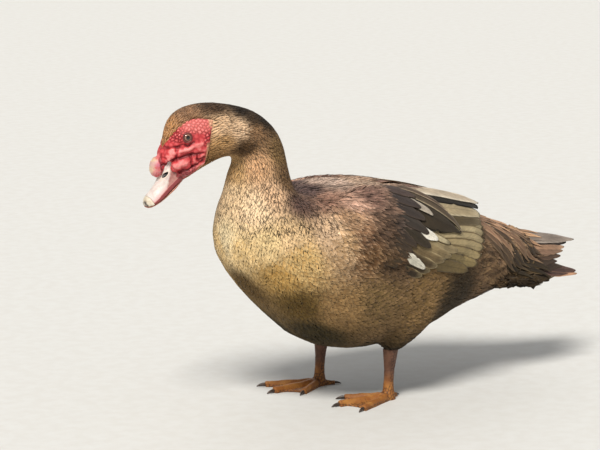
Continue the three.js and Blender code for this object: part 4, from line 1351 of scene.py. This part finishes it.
def makeBill():
    pieces = (("upper_bill", "bill_upper"), ("lower_bill", "bill_lower"), ("nail", "bill_nail"))
    upper, lower, nail = [
        remeshed(name, [node], billPlan["voxel"], 0.12, billPlan["smoothing"]) for name, node in pieces]
    middle = straight(placesOf(upper.data))[:, 1].mean()
    for made in (upper, lower, nail):
        mesh = made.data
        places, normals = placesOf(mesh), normalsOf(mesh)
        spots = headPlaces(places)
        gap = slitGap(spots[:, 0], spots[:, 2], np.sqrt)
        rim = np.exp(-((gap - 1.5) / 0.45) ** 2)
        pit = 1 - rise(0.45, 1.15, gap)
        raised = rim * billPlan["rimHeight"] - pit * billPlan["pitDepth"]
        places = places + normals * (raised * rise(2, 4, spots[:, 1]))[:, None]
        if made == lower:
            jaw, (_, out, _) = billPlan["jaw"], headWays("left")
            off = (straight(places)[:, 1] - middle) * (jaw["wider"] - 1) * rise(2, 10, spots[:, 0])
            places = places - np.array(out) * off[:, None]
            places[:, 2] -= jaw["lower"] * rise(-2, 9, spots[:, 0])
        movePlaces(mesh, places)
        attach(mesh, "headPlace", "FLOAT_VECTOR", spots)
    finishPiece(upper, upperBillFinish(), "bill", "bill_upper")
    finishPiece(lower, lowerBillFinish(), "bill", "bill_lower")
    finishPiece(nail, nailFinish(), "bill_tip", "bill_nail")
    say("bill ready")


def upperBillFinish():
    finish = Finish("upperBillFinish")
    place = finish.place()
    ahead, _, up = finish.parts(finish.attribute("headPlace", "Vector"))
    cloud = finish.noise(place, 170, 4)
    fine = finish.noise(place, 1100, 3)
    wander = (cloud - 0.5) * 4
    rimward = up + ahead * 0.88 + wander * 0.4  # -38 at the rim, and less negative above it
    colour = finish.blend(cloud.ramp(0.35, 0.75), "dcd2cc", "c6b2ac")
    blush = rimward.ramp(-32, -36.5) * 0.6
    colour = finish.blend(blush, colour, "e0b0b0")
    behind = (ahead + up * 0.25 + wander).ramp(6.5, 3.5)
    colour = finish.blend(behind * 0.92, colour, finish.blend(cloud.ramp(0.35, 0.65), "94544f", "b77f76"))
    strip = (rimward + ahead.ramp(14, 30) * 1.3).ramp(-36.6, -37.3)
    colour = finish.blend(strip * 0.85, colour, "c88480")
    colour = finish.blend((rimward + ahead.ramp(14, 30)).ramp(-37.9, -38.5), colour, "8c4042")
    gape = (ahead + wander).ramp(6, 1)
    colour = finish.blend(gape * 0.7, colour, "86484c")
    rimPale = slitGap(ahead, up, lambda value: value.math("SQRT"))
    colour = finish.blend(rimPale.ramp(2.6, 1.4) * 0.6, colour, "e8d6c6")
    # Near black inside the nostril's slit: painted shade in its pit
    colour = finish.blend(rimPale.ramp(1.25, 0.95), colour, "0c0605")
    shadow = (up + ahead * 0.1).ramp(-39, -37) * ahead.ramp(20.5, 22.5) * 0.6
    colour = finish.blend(shadow, colour, "5e2a2c")
    specks = finish.cells(place, 260).ramp(0.14, 0.05) * cloud.ramp(0.55, 0.7) * 0.4
    colour = finish.blend(specks, colour, "a99a95")
    normal = finish.bump(fine * 0.4 + cloud * 1.4, 0.35 * mm, 0.5)
    return finish.close(colour, 0.36 + fine * 0.16, normal, Specular_IOR_Level=0.4, Subsurface_Weight=0.06,
                        Subsurface_Radius=(0.004, 0.002, 0.0015), Subsurface_Scale=0.5)


def lowerBillFinish():
    finish = Finish("lowerBillFinish")
    place = finish.place()
    ahead, _, _ = finish.parts(finish.attribute("headPlace", "Vector"))
    cloud = finish.noise(place, 200, 4)
    ridges = finish.noise(place, 900, 2, stretch=(1, 1, 0.2))
    colour = finish.blend(cloud.ramp(0.35, 0.7), "d29478", "c07a6c")
    colour = finish.blend(ridges.ramp(0.55, 0.75) * 0.4, colour, "deb495")
    colour = finish.blend(ahead.ramp(10, 2) * 0.7, colour, "964a4e")
    normal = finish.bump(ridges + cloud, 0.25 * mm, 0.6)
    return finish.close(colour, 0.42 + ridges * 0.15, normal, Specular_IOR_Level=0.4)


def nailFinish():
    finish = Finish("nailFinish")
    place = finish.place()
    ahead, _, up = finish.parts(finish.attribute("headPlace", "Vector"))
    cloud = finish.noise(place, 260, 4)
    colour = finish.blend(cloud.ramp(0.35, 0.75), "ddd2bf", "c3b49c")
    hard = (ahead + (cloud - 0.5) * 2.4 - up * 0.35).ramp(61.6, 63.2)
    colour = finish.blend(hard, colour, finish.blend(cloud.ramp(0.4, 0.6), "2a211b", "4a3d34"))
    normal = finish.bump(finish.noise(place, 1300, 3), 0.15 * mm, 0.5)
    return finish.close(colour, 0.3 + cloud * 0.2, normal, Specular_IOR_Level=0.45)


# Legs: shanks with rings of scutes, toes with bands across them and webs with fine grain
legPlan = {
    "voxel": 1.1, "swell": 0.9, "smoothing": 2, "band": 2.7, "bandDepth": 0.32, "ankle": 13,
    "cell": 2.4, "cellDepth": 0.22, "claws": {"voxel": 0.45, "swell": 0.1, "smoothing": 2},
}


def makeLeg(side, finish, clawLook):
    plan, nodes = legPlan, [f"shank_{side}", f"foot_{side}"]
    leg = remeshed(f"leg_{side}", nodes, plan["voxel"], plan["swell"], plan["smoothing"])
    mesh = leg.data
    places, normals = placesOf(mesh), normalsOf(mesh)
    low, high = [np.array(corner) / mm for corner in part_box(f"shank_{side}")]
    middle = (low + high) / 2
    away = places[:, :2] - middle[:2]
    far = np.linalg.norm(away, axis=1)
    seeds = Surface(mesh).scatter(lambda at: np.full(len(at), plan["cell"]), 4)
    cells = cobbles(places, seeds, plan["cell"])
    onToe = rise(11, 15, far) * rise(2.4, 4, places[:, 2])
    onShank = rise(plan["ankle"], plan["ankle"] + 4, places[:, 2])
    ahead = rise(0.1, 0.7, -normals[:, 0])
    toeBand = np.abs(np.sin(far * np.pi / plan["band"]))
    shankBand = np.abs(np.sin(places[:, 2] * np.pi / plan["band"]))
    band = onToe * toeBand ** 0.5 + onShank * ahead * shankBand ** 0.5
    other = np.clip(1 - onToe - onShank * ahead, 0, 1)
    top = rise(0.6, 1.4, places[:, 2])
    relief = plan["bandDepth"] * (band - 0.6) + other * plan["cellDepth"] * (cells - 0.5)
    moved = places + normals * (relief * top - 0.1)[:, None]
    moved[:, 2] = np.maximum(moved[:, 2], 0)
    movePlaces(mesh, moved)
    attach(mesh, "scute", "FLOAT", np.clip(band + other * cells, 0, 1))
    attach(mesh, "toe", "FLOAT", onToe)
    finishPiece(leg, finish, "leg_skin", *nodes)
    toes = [f"claw_{toe}_{side}" for toe in ("outer", "middle", "inner", "hind")]
    claws = remeshed(f"claws_{side}", toes, **plan["claws"])
    finishPiece(claws, clawLook, "claw", *toes)


def legFinish():
    finish = Finish("legFinish")
    place = finish.place()
    _, _, height = finish.parts(place)
    scute, toe = finish.attribute("scute", "Fac"), finish.attribute("toe", "Fac")
    cloud = finish.noise(place, 120, 4)
    fine = finish.noise(place, 900, 3)
    colour = finish.blend(cloud.ramp(0.3, 0.7), "523424", "6e4b39")
    low = height.ramp(34 * mm, 12 * mm)
    colour = finish.blend(low * 0.85, colour, finish.blend(cloud.ramp(0.35, 0.7), "90561f", "ad7534"))
    colour = finish.blend(scute.ramp(0.5, 0.1) * 0.75, colour, "33201a")
    colour = finish.blend(toe * fine.ramp(0.5, 0.8) * 0.4, colour, "c08e50")
    normal = finish.bump(scute + fine * 0.4, 0.3 * mm, 0.6)
    return finish.close(colour, 0.5 + fine * 0.2, normal, Specular_IOR_Level=0.4)


def clawFinish():
    finish = Finish("clawFinish")
    place = finish.place()
    cloud = finish.noise(place, 260, 4)
    colour = finish.blend(cloud.ramp(0.35, 0.7), "2b211a", "55443a")
    normal = finish.bump(finish.noise(place, 1400, 2), 0.12 * mm, 0.4)
    return finish.close(colour, 0.3 + cloud * 0.2, normal, Specular_IOR_Level=0.5)


# Vane sizes of a coat as shares of what the spine gives, and how far its vanes turn down the sides
# from some place backwards. Underneath, they are shorter and turn no further.
def sized(places, read, spacing, length, width, down=0.0, downFrom=0.0, underneath=1.0):
    short = mix(underneath, 1, rise(102, 122, places[:, 2]))
    out = rise(0.15, 0.75, np.abs(places[:, 1]) / 60) * rise(downFrom - 30, downFrom + 20, places[:, 0])
    out = out * rise(106, 130, places[:, 2])
    way = read["way"] - np.stack([0 * out, 0 * out, out * down], 1)
    return {"spacing": read["spacing"] * spacing, "length": read["length"] * length * short,
            "width": read["width"] * width, "depth": read["depth"], "lift": read["lift"] * short,
            "way": unit(way)}


def onWing(places, gap=1.6):
    return wingSurface.distances(places) < gap


# Where the coat's last roots are on a wing, by degrees down from the top: behind it the quills show
wingFront = {"angles": (16, 24, 34, 44, 60, 85), "ends": (6, -6, -18, -28, -34, -42)}


def beforeQuills(places):
    angle = np.degrees(np.arctan2(np.abs(places[:, 1]), places[:, 2] - wingSheetPlan["axis"]))
    return places[:, 0] < np.interp(angle, wingFront["angles"], wingFront["ends"])


# Where the coats end, along the bird and in height. They overlap a little where two meet.
borders = {
    "headLow": 262, "neckHigh": 264, "neckLow": 205, "breastHigh": 206, "flankHigh": 150, "flankLow": 50,
    "neckRear": -112, "breastRear": -105, "rumpFront": 80, "rumpRear": 174, "underRear": 188,
    "underHigh": 112,
}


def onHead(at):
    spots = headPlaces(at)
    chin = (spots[:, 0] > -9) & (spots[:, 2] < -31)
    return (at[:, 2] > borders["headLow"]) & (bareSurface.distances(at) > 1.2) & ~chin


def onNeck(at):
    level = (at[:, 2] <= borders["neckHigh"]) & (at[:, 2] > borders["neckLow"])
    return level & (at[:, 0] < borders["neckRear"])


def onBreast(at):
    return (at[:, 2] <= borders["breastHigh"]) & (at[:, 0] < borders["breastRear"]) & ~onWing(at)


def onFlank(at):
    level = (at[:, 2] <= borders["flankHigh"]) & (at[:, 2] > borders["flankLow"])
    return level & (at[:, 0] >= borders["breastRear"]) & (at[:, 0] < borders["rumpFront"]) & ~onWing(at)


def onWingFront(at):
    return onWing(at) & beforeQuills(at)


def onBack(at):
    level = at[:, 2] > borders["flankHigh"]
    return level & (at[:, 0] >= borders["neckRear"]) & (at[:, 0] < borders["rumpFront"]) & ~onWing(at)


def onRump(at):
    rear = np.where(at[:, 2] < borders["underHigh"], borders["underRear"], borders["rumpRear"])
    return (at[:, 0] >= borders["rumpFront"]) & (at[:, 0] < rear) & ~onWing(at, 1.1)


coats = {
    "headCoat": {"slot": "head_plumage", "kind": "fine", "look": "head", "where": onHead},
    "neckCoat": {"slot": "neck_plumage", "kind": "fine", "look": "neck", "where": onNeck,
                 "sizes": {"spacing": 0.88, "length": 1.35, "width": 1.35}},
    "breastCoat": {"slot": "body_plumage", "kind": "broad", "look": "body", "where": onBreast,
                   "sizes": {"spacing": 0.86, "length": 1.2, "width": 1.15}},
    "flankCoat": {"slot": "body_plumage", "kind": "broad", "look": "body", "where": onFlank,
                  "sizes": {"spacing": 0.9, "length": 1, "width": 0.95}},
    "wingCoat": {"slot": "wing_plumage", "kind": "long", "look": "long", "where": onWingFront,
                 "sizes": {"spacing": 1, "length": 1.15, "width": 0.9, "down": 0.55, "downFrom": -90}},
    "backCoat": {"slot": "body_plumage", "kind": "long", "look": "long", "where": onBack,
                 "sizes": {"spacing": 1, "length": 1.25, "width": 0.9, "down": 0.4, "downFrom": -90}},
    "rumpCoat": {"slot": "body_plumage", "kind": "long", "look": "rump", "where": onRump,
                 "sizes": {"spacing": 1.1, "length": 1.1, "width": 1.15, "down": 0.8, "downFrom": 110,
                           "underneath": 0.55}},
}


def layCoats(names, half="", side=0):
    for name in names:
        coat = coats[name]
        layCoat(name + half, coat, ground, unwrap, looks[coat["look"]], side)


setCamera(cameraPlan)
setLamps(lampPlan)
makeFloor(floorPlan)
say("stage ready")

form = makeForm()
ground = coatGround(form)
unwrap = Unwrap([*fleshNodes, *wingNodes])
wingSurface = grownSurface(wingNodes)
bareSurface = grownSurface([*bareNodes, "bill_upper", "bill_lower"])
say("forms ready")

makeSkin(form)
looks = {name: plumageFinish(f"{name}Finish", plan) for name, plan in plumagePlan.items()}
layCoats(("headCoat", "neckCoat"))
for half, side in (("Left", -1), ("Right", 1)):
    layCoats(("breastCoat", "flankCoat", "wingCoat"), half, side)
layCoats(("backCoat", "rumpCoat"))

quillLook = quillFinish()
wingSheet = Sheet(grownSurface(["wing_left"]), wingSheetPlan)
for side in ("left", "right"):
    quillPiece(f"wing_quills_{side}", wingSheet, wingQuills(), quillLook, "wing_plumage", side == "right")
quillPiece("rump_quills", Sheet(ground, rumpSheetPlan), rumpQuills(), quillLook, "body_plumage")
tailSheet = Sheet(grownSurface(["tail"]), tailSheetPlan)
quillPiece("tail_quills", tailSheet, tailQuills(), quillLook, "tail_plumage", nodes=["tail"])

eyeLook, lidLook, legLook, clawLook = eyeFinish(), lidFinish(), legFinish(), clawFinish()
for side in ("left", "right"):
    makeEye(side, eyeLook)
    makeLids(side, lidLook)
    makeLeg(side, legLook, clawLook)
makeBill()
say("eyes, bill and legs ready")
